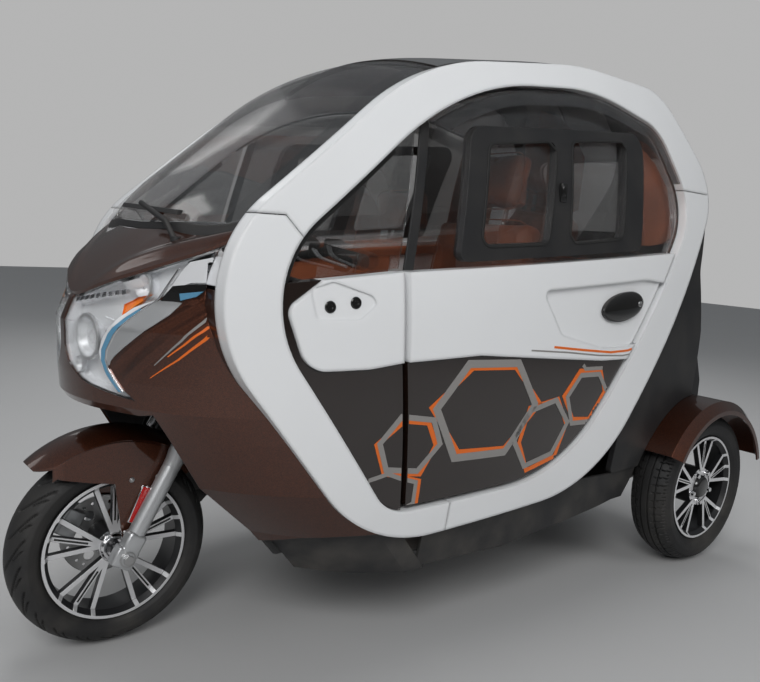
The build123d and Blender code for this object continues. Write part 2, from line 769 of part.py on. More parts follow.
# Chassis frame: head tube, down tubes, floor rails with cross members, rear uprights.
HEAD_FROM, HEAD_TO = 455, 600
HEAD_R = 27
RAIL_X = 220
RAIL_Z = 212
RAIL_R = 17
REAR_RAIL_Z = 350
JACK_STATIONS = (560, 1300)
JACK_Z = 190
REAR_RAIL_END = 1690
with BuildPart() as chassis_frame:
    for sign in (-1, 1):
        rail = [
            (sign * 20, y_at(312), 690),
            (sign * 130, y_at(378), 540),
            (sign * RAIL_X, y_at(380), 300),
            (sign * RAIL_X, y_at(400), RAIL_Z),
            (sign * RAIL_X, y_at(1400), RAIL_Z),
            (sign * RAIL_X, y_at(1500), REAR_RAIL_Z),
            (sign * RAIL_X, y_at(REAR_RAIL_END), REAR_RAIL_Z),
        ]
        tube(rail, RAIL_R)
    for station, height in ((470, RAIL_Z), (900, RAIL_Z), (1380, RAIL_Z), (1660, REAR_RAIL_Z)):
        tube([(-RAIL_X, y_at(station), height), (RAIL_X, y_at(station), height)], 15)
    for station in JACK_STATIONS:
        for x in (-RAIL_X, RAIL_X):
            with Locations((x, y_at(station), JACK_Z)):
                Box(70, 70, 14, align=(Align.CENTER, Align.CENTER, Align.MIN))
    with BuildSketch(fork_plane(HEAD_FROM)):
        Circle(HEAD_R)
    extrude(amount=HEAD_TO - HEAD_FROM)
    with BuildSketch(fork_plane(HEAD_FROM - 10)):
        Circle(STEM_BORE_R)
    extrude(amount=HEAD_TO - HEAD_FROM + 20, mode=Mode.SUBTRACT)
finish(chassis_frame.part, "chassis_frame")
with BuildPart() as floor_pan:
    add(floor_tub.part)
    add(chassis_frame.part, mode=Mode.SUBTRACT)
finish(floor_pan.part, "floor_tub")

# Rear axle: tube, drive unit, drum back plates, trailing arms, springs, stub axles.
DRIVE_R = 92
DRUM_R = 78
HUB_FACE_X = 424
AXLE_TUBE_R = 27
with BuildPart() as rear_axle:
    rear_y = y_at(WHEELBASE)
    tube([(-372, rear_y, REAR_TYRE_R), (372, rear_y, REAR_TYRE_R)], AXLE_TUBE_R)
    tube([(-70, rear_y, REAR_TYRE_R), (70, rear_y, REAR_TYRE_R)], DRIVE_R)
    tube([(-150, rear_y - 20, REAR_TYRE_R + 6), (-60, rear_y - 20, REAR_TYRE_R + 6)], 68)
    for sign in (-1, 1):
        tube([(sign * 366, rear_y, REAR_TYRE_R), (sign * 382, rear_y, REAR_TYRE_R)], DRUM_R)
        tube([(sign * 380, rear_y, REAR_TYRE_R), (sign * 492, rear_y, REAR_TYRE_R)], STUB_R)
        tube([(sign * 270, rear_y, REAR_TYRE_R - 10), (sign * 262, y_at(1400), RAIL_Z)], 16)
        tube([(sign * 262, y_at(1400), RAIL_Z), (sign * (RAIL_X + 12), y_at(1400), RAIL_Z)], 12)
        tube([(sign * 300, rear_y - 10, REAR_TYRE_R), (sign * 290, y_at(1668), REAR_RAIL_Z + 6)], 24)
    add(chassis_frame.part, mode=Mode.SUBTRACT)
finish(rear_axle.part, "rear_axle")


def tyre(x, y, radius, width):
    """Tyre with a rounded tread and bulging walls, as a revolved ring about the axle."""
    half, bead, shoulder = width / 2, width * 0.36, width * 0.42
    with BuildPart() as body:
        with BuildSketch(Plane(origin=(x, y, radius), x_dir=(1, 0, 0), z_dir=(0, -1, 0))):
            with BuildLine():
                ThreePointArc((shoulder, radius - 17), (0, radius), (-shoulder, radius - 17))
                ThreePointArc((-shoulder, radius - 17), (-half, radius - 40), (-bead, RIM_R))
                Polyline((-bead, RIM_R), (-bead, RIM_BARREL_R), (bead, RIM_BARREL_R), (bead, RIM_R))
                ThreePointArc((bead, RIM_R), (half, radius - 40), (shoulder, radius - 17))
            make_face()
        revolve(axis=Axis((x, y, radius), (1, 0, 0)))
    return body.part


def rim(x, y, radius, width, spokes, bore, hub):
    """Rim: barrel with dished flanges, spokes between two places along the axle, a stepped hub and its bore.

    Each step of the hub has its radius and its inner and outer ends along the axle.
    """
    hub_r, hub_in, _ = hub[0]
    hub_out = hub[-1][2]
    bead = width * 0.36
    with BuildPart() as body:
        with BuildSketch(Plane(origin=(x, y, radius), x_dir=(1, 0, 0), z_dir=(0, -1, 0))):
            with BuildLine():
                Polyline(
                    (-bead - 7, RIM_R), (-bead - 0.5, RIM_R), (-bead - 0.5, RIM_BARREL_R - 0.5),
                    (bead + 0.5, RIM_BARREL_R - 0.5), (bead + 0.5, RIM_R), (bead + 7, RIM_R),
                    (bead + 7, RIM_LIP_R), (bead - 6, RIM_BARREL_R - 8), (6 - bead, RIM_BARREL_R - 8),
                    (-bead - 7, RIM_LIP_R), close=True,
                )
            make_face()
        revolve(axis=Axis((x, y, radius), (1, 0, 0)))
        for step_r, step_in, step_out in hub:
            with BuildSketch(Plane(origin=(x + step_in, y, radius), x_dir=(0, 1, 0), z_dir=(1, 0, 0))):
                Circle(step_r)
            extrude(amount=step_out - step_in)
        with BuildSketch(Plane(origin=(x + spokes[0], y, radius), x_dir=(0, 1, 0), z_dir=(1, 0, 0))):
            for group in range(SPOKE_GROUPS):
                for splay in SPOKE_SPLAY:
                    turn = radians(90 + group * 360 / SPOKE_GROUPS + splay)
                    root = radians(90 + group * 360 / SPOKE_GROUPS + splay * SPOKE_ROOT)
                    start = Vector(cos(root), sin(root)) * (hub_r - 6)
                    end = Vector(cos(turn), sin(turn)) * (RIM_BARREL_R - 2)
                    with Locations((start + end) / 2):
                        slope = degrees(atan2(end.Y - start.Y, end.X - start.X))
                        Rectangle((end - start).length, SPOKE_WIDTH, rotation=slope)
        extrude(amount=spokes[1] - spokes[0])
        with BuildSketch(Plane(origin=(x + hub_in - 5, y, radius), x_dir=(0, 1, 0), z_dir=(1, 0, 0))):
            Circle(bore)
        extrude(amount=hub_out - hub_in + 10, mode=Mode.SUBTRACT)
    return body.part


front_y = FRONT_AXLE_Y
finish(tyre(0, front_y, FRONT_TYRE_R, FRONT_TYRE_WIDTH), "front_tyre")
FRONT_HUB = [(34, -60, 36), (15, 36, 62)]
REAR_HUB = [(60, -31, 42)]
finish(rim(0, front_y, FRONT_TYRE_R, FRONT_TYRE_WIDTH, (16, 32), AXLE_BORE_R, FRONT_HUB), "front_rim")
rear_tyre = tyre(REAR_WHEEL_X, y_at(WHEELBASE), REAR_TYRE_R, REAR_TYRE_WIDTH)
rear_rim = rim(REAR_WHEEL_X, y_at(WHEELBASE), REAR_TYRE_R, REAR_TYRE_WIDTH, (28, 45), STUB_BORE_R, REAR_HUB)
finish(rear_tyre, "rear_tyre_left")
finish(rear_rim, "rear_rim_left")
finish(mirror(rear_tyre, about=Plane.YZ, mode=Mode.PRIVATE), "rear_tyre_right")
finish(mirror(rear_rim, about=Plane.YZ, mode=Mode.PRIVATE), "rear_rim_right")

# Brake disc on the right of the front wheel.
with BuildPart() as brake_disc:
    with BuildSketch(Plane(origin=(-66, front_y, FRONT_TYRE_R), x_dir=(0, 1, 0), z_dir=(1, 0, 0))):
        Circle(96)
        Circle(AXLE_BORE_R, mode=Mode.SUBTRACT)
        with PolarLocations(80, 24):
            Circle(4, mode=Mode.SUBTRACT)
        with PolarLocations(56, 6):
            Circle(13, mode=Mode.SUBTRACT)
    extrude(amount=5.5)
finish(brake_disc.part, "brake_disc")

# Fork: axle, two lower legs, two chrome tubes, bridge, stem.
LEG_X = 94
LEG_LOWER_R = 20
LEG_UPPER_R = 15
LEG_TOP = 262
BRIDGE_AT = 410
BRIDGE_THICK = 24
STEM_TOP = 640
with BuildPart() as fork:
    for sign in (-1, 1):
        leg = [axis_point(t, sign * LEG_X, 0) for t in (-24, LEG_TOP, BRIDGE_AT + BRIDGE_THICK - 1)]
        tube(leg[:2], LEG_LOWER_R)
        tube(leg[1:], LEG_UPPER_R)
    tube([axis_point(0, -LEG_X - 26, 0), axis_point(0, LEG_X + 26, 0)], AXLE_R)
    tube([axis_point(0, LEG_X + 16, 0), axis_point(0, LEG_X + 25, 0)], 15)
    with BuildSketch(fork_plane(BRIDGE_AT)):
        with Locations((0, 0)):
            SlotOverall(2 * LEG_X + 56, 66)
        with Locations((0, -18)):
            RectangleRounded(2 * LEG_X + 48, 58, 20)
    extrude(amount=BRIDGE_THICK)
    with BuildSketch(fork_plane(BRIDGE_AT)):
        Circle(STEM_R)
    extrude(amount=STEM_TOP - BRIDGE_AT)
finish(fork.part, "fork")

# Handlebar: riser on the stem, bar with bent ends, grips.
BAR_AT = 800
with BuildPart() as handlebar:
    with BuildSketch(fork_plane(STEM_TOP)):
        Circle(15)
    extrude(amount=BAR_AT - STEM_TOP)
    centre = Vector(*axis_point(BAR_AT, 0))
    bar = [(x, centre.Y + dy, centre.Z + dz) for x, dy, dz in (
        (-330, 34, 4), (-200, 6, 22), (-90, 0, 0), (90, 0, 0), (200, 6, 22), (330, 34, 4))]
    tube(bar, 11)
    for sign in (-1, 1):
        tube([(sign * 212, centre.Y + 9, centre.Z + 20), (sign * 332, centre.Y + 34.5, centre.Z + 3.7)], 17)
finish(handlebar.part, "handlebar")


def spun_plane(y, height, degrees_back):
    """Plane through a wheel's axle whose local y points out from it, leaning back from straight up."""
    turn = radians(degrees_back)
    return Plane(origin=(0, y, height), x_dir=(1, 0, 0), z_dir=(0, -cos(turn), sin(turn)))


# Front fender: curved sheet round the wheel with a rounded tip, and side plates that run down to the legs.
FRONT_FENDER_REAR, FRONT_FENDER_AHEAD = 62, 41
FENDER_PLATE = [
    (-168, 433), (-130, 421), (-70, 406), (-16, 396), (3, 262), (24, 262), (66, 350), (112, 432), (100, 468),
]
FENDER_PLATE_TOP = (-35, 489)
FENDER_TIP = {"station": -108, "half_width": 76, "length": 82}
REAR_FENDER_REAR, REAR_FENDER_AHEAD = 73, 61
with BuildPart() as front_fender:
    with BuildSketch(spun_plane(front_y, FRONT_TYRE_R, FRONT_FENDER_REAR)):
        with BuildLine():
            Polyline((-70, 238), (-70, 262))
            ThreePointArc((-70, 262), (0, 284), (70, 262))
            Polyline((70, 262), (70, 238), (66, 238), (66, 260))
            ThreePointArc((66, 260), (0, 280), (-66, 260))
            Polyline((-66, 260), (-66, 238), (-70, 238))
        make_face()
    front_axis = Axis((0, front_y, FRONT_TYRE_R), (1, 0, 0))
    revolve(axis=front_axis, revolution_arc=FRONT_FENDER_REAR + FRONT_FENDER_AHEAD)
    for x in (70, -74):
        with BuildSketch(Plane(origin=(x, FRONT_AXLE_Y, 0), x_dir=(0, 1, 0), z_dir=(1, 0, 0))):
            with BuildLine():
                Polyline(*FENDER_PLATE)
                ThreePointArc(FENDER_PLATE[-1], FENDER_PLATE_TOP, FENDER_PLATE[0])
            make_face()
        extrude(amount=4)
    with BuildSketch(Plane.XY.offset(FRONT_TYRE_R)):
        with Locations((0, y_at(FENDER_TIP["station"] - 76))):
            Rectangle(200, 152)
        with Locations((0, y_at(FENDER_TIP["station"]))):
            Ellipse(FENDER_TIP["half_width"], FENDER_TIP["length"], mode=Mode.SUBTRACT)
    extrude(amount=330, mode=Mode.SUBTRACT)
finish(front_fender.part, "front_fender")

# Rear fenders.
with BuildPart() as rear_fenders:
    with BuildSketch(spun_plane(y_at(WHEELBASE), REAR_TYRE_R, REAR_FENDER_REAR)):
        with BuildLine():
            Polyline((378, 287), (535, 287), (HALF_WIDTH, 262), (HALF_WIDTH, 248), (HALF_WIDTH - 5, 248),
                     (HALF_WIDTH - 5, 260), (533, 282), (378, 282), close=True)
        make_face()
    rear_axis = Axis((0, y_at(WHEELBASE), REAR_TYRE_R), (1, 0, 0))
    revolve(axis=rear_axis, revolution_arc=REAR_FENDER_REAR + REAR_FENDER_AHEAD)
    mirror(about=Plane.YZ)
finish(rear_fenders.part, "rear_fenders")

# Tail: lower box with holes for a number plate, bumper bar, lamps.
TAIL_BOX_END = 1893
PLATE_HOLE_SPACING = 150
PLATE_HOLE_Z = 510
PLATE_HOLE_R = 3.2
with BuildPart() as tail_box:
    with BuildSketch(SIDE):
        with BuildLine():
            Polyline(
                (1716, 385), (1850, 385), (TAIL_BOX_END, 425), (TAIL_BOX_END, 560), (1850, 670), (1716, 735),
                close=True,
            )
        make_face()
    extrude(amount=366, both=True)
    fillet(tail_box.edges().filter_by(Axis.X).group_by(Axis.Y)[-1], radius=18)
    add(tail_outer, mode=Mode.SUBTRACT)
    with BuildSketch(Plane.XZ.offset(-y_at(TAIL_BOX_END))):
        with GridLocations(PLATE_HOLE_SPACING, 1, 2, 1):
            with Locations((0, PLATE_HOLE_Z)):
                Circle(PLATE_HOLE_R)
    extrude(amount=14, both=True, mode=Mode.SUBTRACT)
finish(tail_box.part, "tail_box")

BUMPER_Z = 480
BUMPER_R, STAY_R = 22, 14
with BuildPart() as rear_bumper:
    y_bar = REAR_END - BUMPER_R
    y_bent = y_bar - 60
    bar_line = [(-330, y_bent), (-250, y_bar), (250, y_bar), (330, y_bent)]
    tube([(x, y, BUMPER_Z) for x, y in bar_line], BUMPER_R)
    for sign in (-1, 1):
        tube([(sign * 200, y_bar, BUMPER_Z), (sign * 200, y_at(TAIL_BOX_END), BUMPER_Z)], STAY_R)
finish(rear_bumper.part, "rear_bumper")

with BuildPart() as tail_lamps:
    for sign in (-1, 1):
        with BuildSketch(Plane.XZ.offset(-y_at(1700))):
            with Locations((sign * 350, 870)):
                RectangleRounded(60, 190, 25)
        extrude(amount=-45)
    add(tail_outer, mode=Mode.SUBTRACT)
finish(tail_lamps.part, "tail_lamps")

# Cabin: dashboard, boxes under the seats, driver's seat, rear bench.
FOOT_INNER, FOOT_HALF = 340, 440
with BuildPart() as dashboard:
    with BuildSketch(SIDE):
        with BuildLine():
            Polyline(
                (160, 905), (290, 872), (390, 780), (419, 640), (419, 242), (413, 242), (413, 640), (384, 776),
                (287, 866), (158, 899), close=True,
            )
        make_face()
    extrude(amount=REACH, both=True)
    add(side_core(36), mode=Mode.INTERSECT)
    with BuildSketch(fork_plane(HEAD_TO + 10)):
        Circle(34)
    extrude(amount=240, mode=Mode.SUBTRACT)
    with Locations((-FOOT_HALF, y_at(416), 230), (FOOT_HALF, y_at(416), 230)):
        foot_wide = 2 * (FOOT_HALF - FOOT_INNER)
        Box(foot_wide, 40, 80, align=(Align.CENTER, Align.CENTER, Align.MIN), mode=Mode.SUBTRACT)
finish(dashboard.part, "dashboard")

with BuildPart() as seat_boxes:
    with Locations((0, y_at(860), 365)):
        Box(400, 420, 250)
    fillet(seat_boxes.edges().filter_by(Axis.Z), radius=25)
    with Locations((0, y_at(1440), 452)):
        Box(700, 290, 143)
finish(seat_boxes.part, "seat_boxes")

with BuildPart() as driver_seat:
    with Locations((0, y_at(865), 545)):
        Box(430, 440, 108)
    fillet(driver_seat.edges(), radius=35)
    with BuildSketch(Plane(origin=(0, y_at(1092), 575), x_dir=(1, 0, 0), z_dir=(0, 0.2, 0.98))):
        RectangleRounded(420, 95, 40)
    extrude(amount=488)
    for x in (-60, 60):
        tube([(x, y_at(1182), 1020), (x, y_at(1204), 1120)], 7)
    with BuildSketch(Plane(origin=(0, y_at(1195), 1080), x_dir=(1, 0, 0), z_dir=(0, 0.1, 0.99))):
        RectangleRounded(250, 90, 40)
    extrude(amount=180)
finish(driver_seat.part, "driver_seat")

BENCH_WIDTH = 730
with BuildPart() as rear_bench:
    with Locations((0, y_at(1440), 575)):
        Box(BENCH_WIDTH, 330, 100)
    fillet(rear_bench.edges(), radius=30)
    with BuildSketch(Plane(origin=(0, y_at(1558), 600), x_dir=(1, 0, 0), z_dir=(0, 0.12, 0.99))):
        RectangleRounded(BENCH_WIDTH, 90, 38)
    extrude(amount=350)
finish(rear_bench.part, "rear_bench")
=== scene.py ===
"""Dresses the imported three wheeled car: paint, glass, lamps, tyres, seats and trim on the fixed frame."""

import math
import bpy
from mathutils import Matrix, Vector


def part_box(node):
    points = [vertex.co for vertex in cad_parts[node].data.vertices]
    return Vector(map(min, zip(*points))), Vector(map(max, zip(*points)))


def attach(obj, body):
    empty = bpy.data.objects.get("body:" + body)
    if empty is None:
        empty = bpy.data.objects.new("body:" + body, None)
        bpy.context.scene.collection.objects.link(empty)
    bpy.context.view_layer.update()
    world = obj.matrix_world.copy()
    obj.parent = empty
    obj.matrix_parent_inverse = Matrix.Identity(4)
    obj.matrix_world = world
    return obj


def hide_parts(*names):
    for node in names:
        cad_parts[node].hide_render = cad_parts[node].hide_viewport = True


bl_info = {
    "name": "Enclosed Three Wheeled Car",
    "version": (1, 0, 0),
    "blender": (4, 5, 0),
    "location": "3D View > Sidebar > Car",
    "description": "Builds the finishes, lamps, tyres, seats and trim of an enclosed three wheeled car",
    "category": "Object",
}

from functools import partial

import bmesh
import bpy
from bpy.props import FloatProperty, FloatVectorProperty, PointerProperty
from mathutils import Matrix, Vector
from mathutils.bvhtree import BVHTree

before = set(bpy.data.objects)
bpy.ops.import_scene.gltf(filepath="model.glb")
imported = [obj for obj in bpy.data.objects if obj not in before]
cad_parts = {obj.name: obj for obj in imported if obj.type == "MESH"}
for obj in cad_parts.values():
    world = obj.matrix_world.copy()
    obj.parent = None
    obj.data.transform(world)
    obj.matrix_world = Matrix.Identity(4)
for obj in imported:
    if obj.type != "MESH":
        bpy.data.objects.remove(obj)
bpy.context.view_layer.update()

# Driving places of the frame, in metres: stations run back from the front axle.
FRONT_AXLE_Y = -0.889
REAR_AXLE_Y = 0.841
FRONT_TYRE_R = 0.231
REAR_TYRE_R = 0.245
FRONT_TYRE_WIDTH = 0.110
REAR_TYRE_WIDTH = 0.132
REAR_WHEEL_X = 0.455
RIM_R = 0.166
RAKE = math.radians(28.8)
AXIS_SETBACK = 0.035

# Form of the body's side, in millimetres: half width at the waist, how far it draws in and over what length.
SIDE_HALF, SIDE_MIDDLE, SIDE_WAIST = 500, 950, 720
DRAWN_AHEAD, DRAWN_BEHIND = 115, (40, 750)
DRAWN_ABOVE, DRAWN_BELOW = (135, 700), (35, 420)

# The camera: place in metres, turns in degrees, focal length in pixels of the picture.
IMAGE_SIZE = (760, 682)
CAMERA_PLACE = (1.75, -1.513, 0.982)
CAMERA_YAW, CAMERA_PITCH, CAMERA_ROLL = 51.36, 7.65, 3.51
FOCAL_PIXELS = 783
SENSOR_WIDTH = 36


def colour_property(name, description, value):
    return FloatVectorProperty(
        name=name, description=description, subtype="COLOR", size=3, min=0, max=1, default=value
    )


class CarColours(bpy.types.PropertyGroup):
    ring: colour_property(
        "Ring White", "Gloss plastic of the side ring and the belt panels", (0.78, 0.79, 0.80),
    )
    body: colour_property(
        "Body Copper", "Metallic lacquer of the nose, the hood and the fenders", (0.078, 0.021, 0.008),
    )
    door: colour_property("Door Dark", "Gloss lacquer of the door's lower skin", (0.011, 0.0055, 0.0038))
    roof: colour_property("Roof Black", "Gloss lacquer of the roof and the rear panel", (0.012, 0.009, 0.008))
    plastic: colour_property(
        "Trim Black", "Grained plastic of the belly, the liners and the trims", (0.016, 0.016, 0.017),
    )
    leather: colour_property("Seat Leather", "Leather of the seats", (0.30, 0.085, 0.032))
    stripe_warm: colour_property(
        "Stripe Orange", "Warm tone of the two-tone outlines and lines", (0.72, 0.14, 0.012),
    )
    stripe_cool: colour_property(
        "Stripe Grey", "Cool tone of the two-tone outlines and lines", (0.25, 0.24, 0.23),
    )
    tint: colour_property("Glass Tint", "Tint of the windscreen and the door glass", (0.13, 0.115, 0.105))
    floor: colour_property("Floor", "Studio floor and backdrop", (0.44, 0.44, 0.44))


class CarSizes(bpy.types.PropertyGroup):
    edge_radius: FloatProperty(
        name="Edge Radius", description="Rounding that moulded edges show", unit="LENGTH", default=0.003,
        min=0,
    )
    groove_depth: FloatProperty(
        name="Groove Depth", description="Depth of the tread grooves", unit="LENGTH", default=0.0045, min=0
    )
    decal_lift: FloatProperty(
        name="Line Lift", description="How far a painted line stands off its panel", unit="LENGTH",
        default=0.0004, min=0,
    )


def colours():
    return bpy.context.scene.car_colours


def sizes():
    return bpy.context.scene.car_sizes


# Shader node groups that several finishes share.


def new_group(name, inputs, outputs):
    """A shader node group with named sockets, and its two end nodes."""
    group = bpy.data.node_groups.new(name, "ShaderNodeTree")
    for label, kind, value in inputs:
        socket = group.interface.new_socket(label, in_out="INPUT", socket_type=f"NodeSocket{kind}")
        if value is not None:
            socket.default_value = value
    for label, kind in outputs:
        group.interface.new_socket(label, in_out="OUTPUT", socket_type=f"NodeSocket{kind}")
    return group, group.nodes.new("NodeGroupInput"), group.nodes.new("NodeGroupOutput")


def feed(tree, socket, value):
    """Links a socket to another one, or gives it a plain value."""
    if isinstance(value, bpy.types.NodeSocket):
        tree.links.new(value, socket)
    else:
        socket.default_value = value


def add_node(tree, kind, links=None, **settings):
    """Adds a node, sets its attributes, and fills its inputs by name or index from values or sockets."""
    node = tree.nodes.new(kind)
    for key, value in settings.items():
        setattr(node, key, value)
    for key, value in (links or {}).items():
        feed(tree, node.inputs[key], value)
    return node


def place_group(tree, group, links=None):
    """Places a shader node group in a tree."""
    return add_node(tree, "ShaderNodeGroup", links, node_tree=group)


def math_node(tree, operation, *values, clamp=False):
    links = dict(enumerate(values))
    return add_node(tree, "ShaderNodeMath", links, operation=operation, use_clamp=clamp).outputs[0]


def smooth_step(tree, value, low, high):
    """0 at low and 1 at high, smooth between them. Low may be the greater."""
    links = {"Value": value, "From Min": low, "From Max": high}
    return add_node(tree, "ShaderNodeMapRange", links, interpolation_type="SMOOTHSTEP").outputs["Result"]


def ranged(tree, value, low, high):
    """Carries a value from 0 to 1 over to the range from low to high."""
    return add_node(tree, "ShaderNodeMapRange", {"Value": value, "To Min": low, "To Max": high}).outputs[0]


def mix_colour(tree, factor, a, b):
    a, b = (tone if isinstance(tone, bpy.types.NodeSocket) else (*tone[:3], 1) for tone in (a, b))
    return add_node(tree, "ShaderNodeMix", {0: factor, 6: a, 7: b}, data_type="RGBA").outputs[2]


def noise_at(tree, place, scale, detail):
    """Noise from 0 to 1 at a place."""
    links = {"Vector": place, "Scale": scale, "Detail": detail}
    return add_node(tree, "ShaderNodeTexNoise", links).outputs["Fac"]


def object_place(tree):
    return add_node(tree, "ShaderNodeTexCoord").outputs["Object"]


def axes_of(tree, vector):
    return add_node(tree, "ShaderNodeSeparateXYZ", {0: vector}).outputs


GRAIN_DISTANCE = 0.002


def build_moulded_group():
    """Rounded edges with a fine ripple or grain on top, as a normal."""
    group, start, end = new_group(
        "Moulded Surface",
        [
            ("Edge Radius", "Float", 0.003), ("Scale", "Float", 300.0), ("Depth", "Float", 0.1),
            ("Cells", "Float", 0.0),
        ],
        [("Normal", "Vector")],
    )
    values = start.outputs
    place = object_place(group)
    bevel = add_node(group, "ShaderNodeBevel", {"Radius": values["Edge Radius"]}, samples=4).outputs[0]
    noise = noise_at(group, place, values["Scale"], 2.0)
    links = {"Vector": place, "Scale": values["Scale"]}
    cells = add_node(group, "ShaderNodeTexVoronoi", links, feature="SMOOTH_F1").outputs["Distance"]
    height = add_node(group, "ShaderNodeMix", {0: values["Cells"], 2: noise, 3: cells}).outputs[0]
    links = {"Strength": values["Depth"], "Distance": GRAIN_DISTANCE, "Height": height, "Normal": bevel}
    bump = add_node(group, "ShaderNodeBump", links)
    group.links.new(bump.outputs[0], end.inputs["Normal"])
    return group


DUST_ANYWHERE, DUST_ON_TOP, DUST_NEAR_GROUND, DUST_ROUGHNESS = 0.12, 0.25, 0.75, 0.85


def build_dust_group():
    """A thin veil of dust, more on faces that look up and near the ground, in colour and roughness."""
    group, start, end = new_group(
        "Road Dust",
        [
            ("Color", "Color", (0.5, 0.5, 0.5, 1)),
            ("Dust Color", "Color", (0.30, 0.27, 0.23, 1)),
            ("Roughness", "Float", 0.3),
            ("Amount", "Float", 0.2),
            ("Reach", "Float", 0.5),
        ],
        [("Color", "Color"), ("Roughness", "Float")],
    )
    coords = add_node(group, "ShaderNodeTexCoord")
    place = coords.outputs["Object"]
    low = smooth_step(group, axes_of(group, place)["Z"], start.outputs["Reach"], 0.0)
    up = smooth_step(group, axes_of(group, coords.outputs["Normal"])["Z"], 0.2, 1.0)
    spots = smooth_step(group, noise_at(group, place, 9.0, 6.0), 0.35, 0.75)
    where = math_node(group, "MULTIPLY_ADD", up, DUST_ON_TOP, DUST_ANYWHERE)
    where = math_node(group, "ADD", where, math_node(group, "MULTIPLY", low, DUST_NEAR_GROUND))
    veil = math_node(group, "MULTIPLY", where, spots)
    veil = math_node(group, "MULTIPLY", veil, start.outputs["Amount"], clamp=True)
    colour = mix_colour(group, veil, start.outputs["Color"], start.outputs["Dust Color"])
    rough = add_node(
        group, "ShaderNodeMix", {0: veil, 2: start.outputs["Roughness"], 3: DUST_ROUGHNESS},
    ).outputs[0]
    group.links.new(colour, end.inputs["Color"])
    group.links.new(rough, end.inputs["Roughness"])
    return group


def build_side_place_group():
    """Where a point lies on the car's side, in millimetres: station, height and distance in from it."""
    group, _, end = new_group(
        "Side Place", [], [("Station", "Float"), ("Height", "Float"), ("Inset", "Float")],
    )
    calc = partial(math_node, group)
    axes = axes_of(group, object_place(group))
    station = calc("MULTIPLY", calc("SUBTRACT", axes["Y"], FRONT_AXLE_Y), 1000)
    height = calc("MULTIPLY", axes["Z"], 1000)
    ahead = calc("MAXIMUM", calc("DIVIDE", calc("SUBTRACT", SIDE_MIDDLE, station), SIDE_MIDDLE), 0)
    above = calc("MAXIMUM", calc("DIVIDE", calc("SUBTRACT", height, SIDE_WAIST), DRAWN_ABOVE[1]), 0)
    fall = calc("MULTIPLY", calc("POWER", ahead, 2), DRAWN_AHEAD)
    lean = calc("MULTIPLY", calc("POWER", above, 2), DRAWN_ABOVE[0])
    edge = calc("SUBTRACT", calc("SUBTRACT", SIDE_HALF, fall), lean)
    inset = calc("SUBTRACT", edge, calc("MULTIPLY", calc("ABSOLUTE", axes["X"]), 1000))
    for label, value in (("Station", station), ("Height", height), ("Inset", inset)):
        group.links.new(value, end.inputs[label])
    return group


GROUPS = {}
MATERIALS = {}
RELIEF_DISTANCE = 0.007


def finish(
    name, colour, roughness, dust=0.0, ripple=(300.0, 0.05, 0.0), edge=None, colour_link=None,
    rough_link=None, relief=None, **principled
):
    """A finish of dusted colour and a moulded surface. Functions may give colour, roughness or relief."""
    made = bpy.data.materials.new(name)
    made.use_nodes = True
    tree = made.node_tree
    shader = tree.nodes["Principled BSDF"]
    scale, depth, cells = ripple
    links = {
        "Edge Radius": sizes().edge_radius if edge is None else edge, "Scale": scale, "Depth": depth,
        "Cells": cells,
    }
    normal = place_group(tree, GROUPS["moulded"], links).outputs["Normal"]
    if relief:
        links = {"Strength": 1.0, "Distance": RELIEF_DISTANCE, "Height": relief(tree), "Normal": normal}
        normal = add_node(tree, "ShaderNodeBump", links).outputs[0]
    feed(tree, shader.inputs["Normal"], normal)
    base = colour_link(tree) if colour_link else (*colour, 1)
    rough = rough_link(tree) if rough_link else roughness
    if dust:
        veil = place_group(tree, GROUPS["dust"], {"Color": base, "Roughness": rough, "Amount": dust}).outputs
        base, rough = veil["Color"], veil["Roughness"]
    feed(tree, shader.inputs["Base Color"], base)
    feed(tree, shader.inputs["Roughness"], rough)
    for key, value in principled.items():
        label = key.replace("_", " ").title().replace("Ior", "IOR")
        feed(tree, shader.inputs[label], value(tree) if callable(value) else value)
    MATERIALS[name] = made


# Finishes.


FLAKE_SCALE = 900.0


def flake_and_sheen_colour(dark, bright):
    """Metallic lacquer: fine flakes that vary between two tones, with a painted sheen: the flakes fade to the
    dark tone where the face turns away from the eye.
    """

    def build(tree):
        links = {"Vector": object_place(tree), "Scale": FLAKE_SCALE}
        flakes = add_node(tree, "ShaderNodeTexVoronoi", links).outputs["Color"]
        level = add_node(tree, "ShaderNodeSeparateColor", {0: flakes}).outputs[0]
        # Painted sheen: flakes keep their bright tone where the face looks at the eye and fall to the dark
        # tone at grazing angles.
        facing = add_node(tree, "ShaderNodeLayerWeight", {"Blend": 0.35}).outputs["Facing"]
        level = math_node(tree, "MULTIPLY", level, math_node(tree, "SUBTRACT", 1.0, facing))
        return mix_colour(tree, level, dark, bright)

    return build


def mottled_colour(low, high, scale):
    """Two tones mixed by noise."""

    def build(tree):
        noise = noise_at(tree, object_place(tree), scale, 5.0)
        return mix_colour(tree, smooth_step(tree, noise, 0.3, 0.7), low, high)

    return build


def mottled_roughness(low, high, scale):
    """Roughness that noise moves between two values."""

    def build(tree):
        return ranged(tree, noise_at(tree, object_place(tree), scale, 4.0), low, high)

    return build


def facing_out(tree):
    """1 where a face looks along the axle, 0 elsewhere."""
    normal = add_node(tree, "ShaderNodeTexCoord").outputs["Normal"]
    return smooth_step(tree, math_node(tree, "ABSOLUTE", axes_of(tree, normal)["X"]), 0.9, 0.97)


def machined_colour(tree):
    """Bare turned metal on the faces that look along the axle, black lacquer in the pockets."""
    return mix_colour(tree, facing_out(tree), (0.012, 0.012, 0.013), (0.78, 0.78, 0.79))


def machined_metallic(tree):
    return math_node(tree, "MULTIPLY", facing_out(tree), 0.6)


def machined_roughness(tree):
    return ranged(tree, facing_out(tree), 0.35, 0.33)


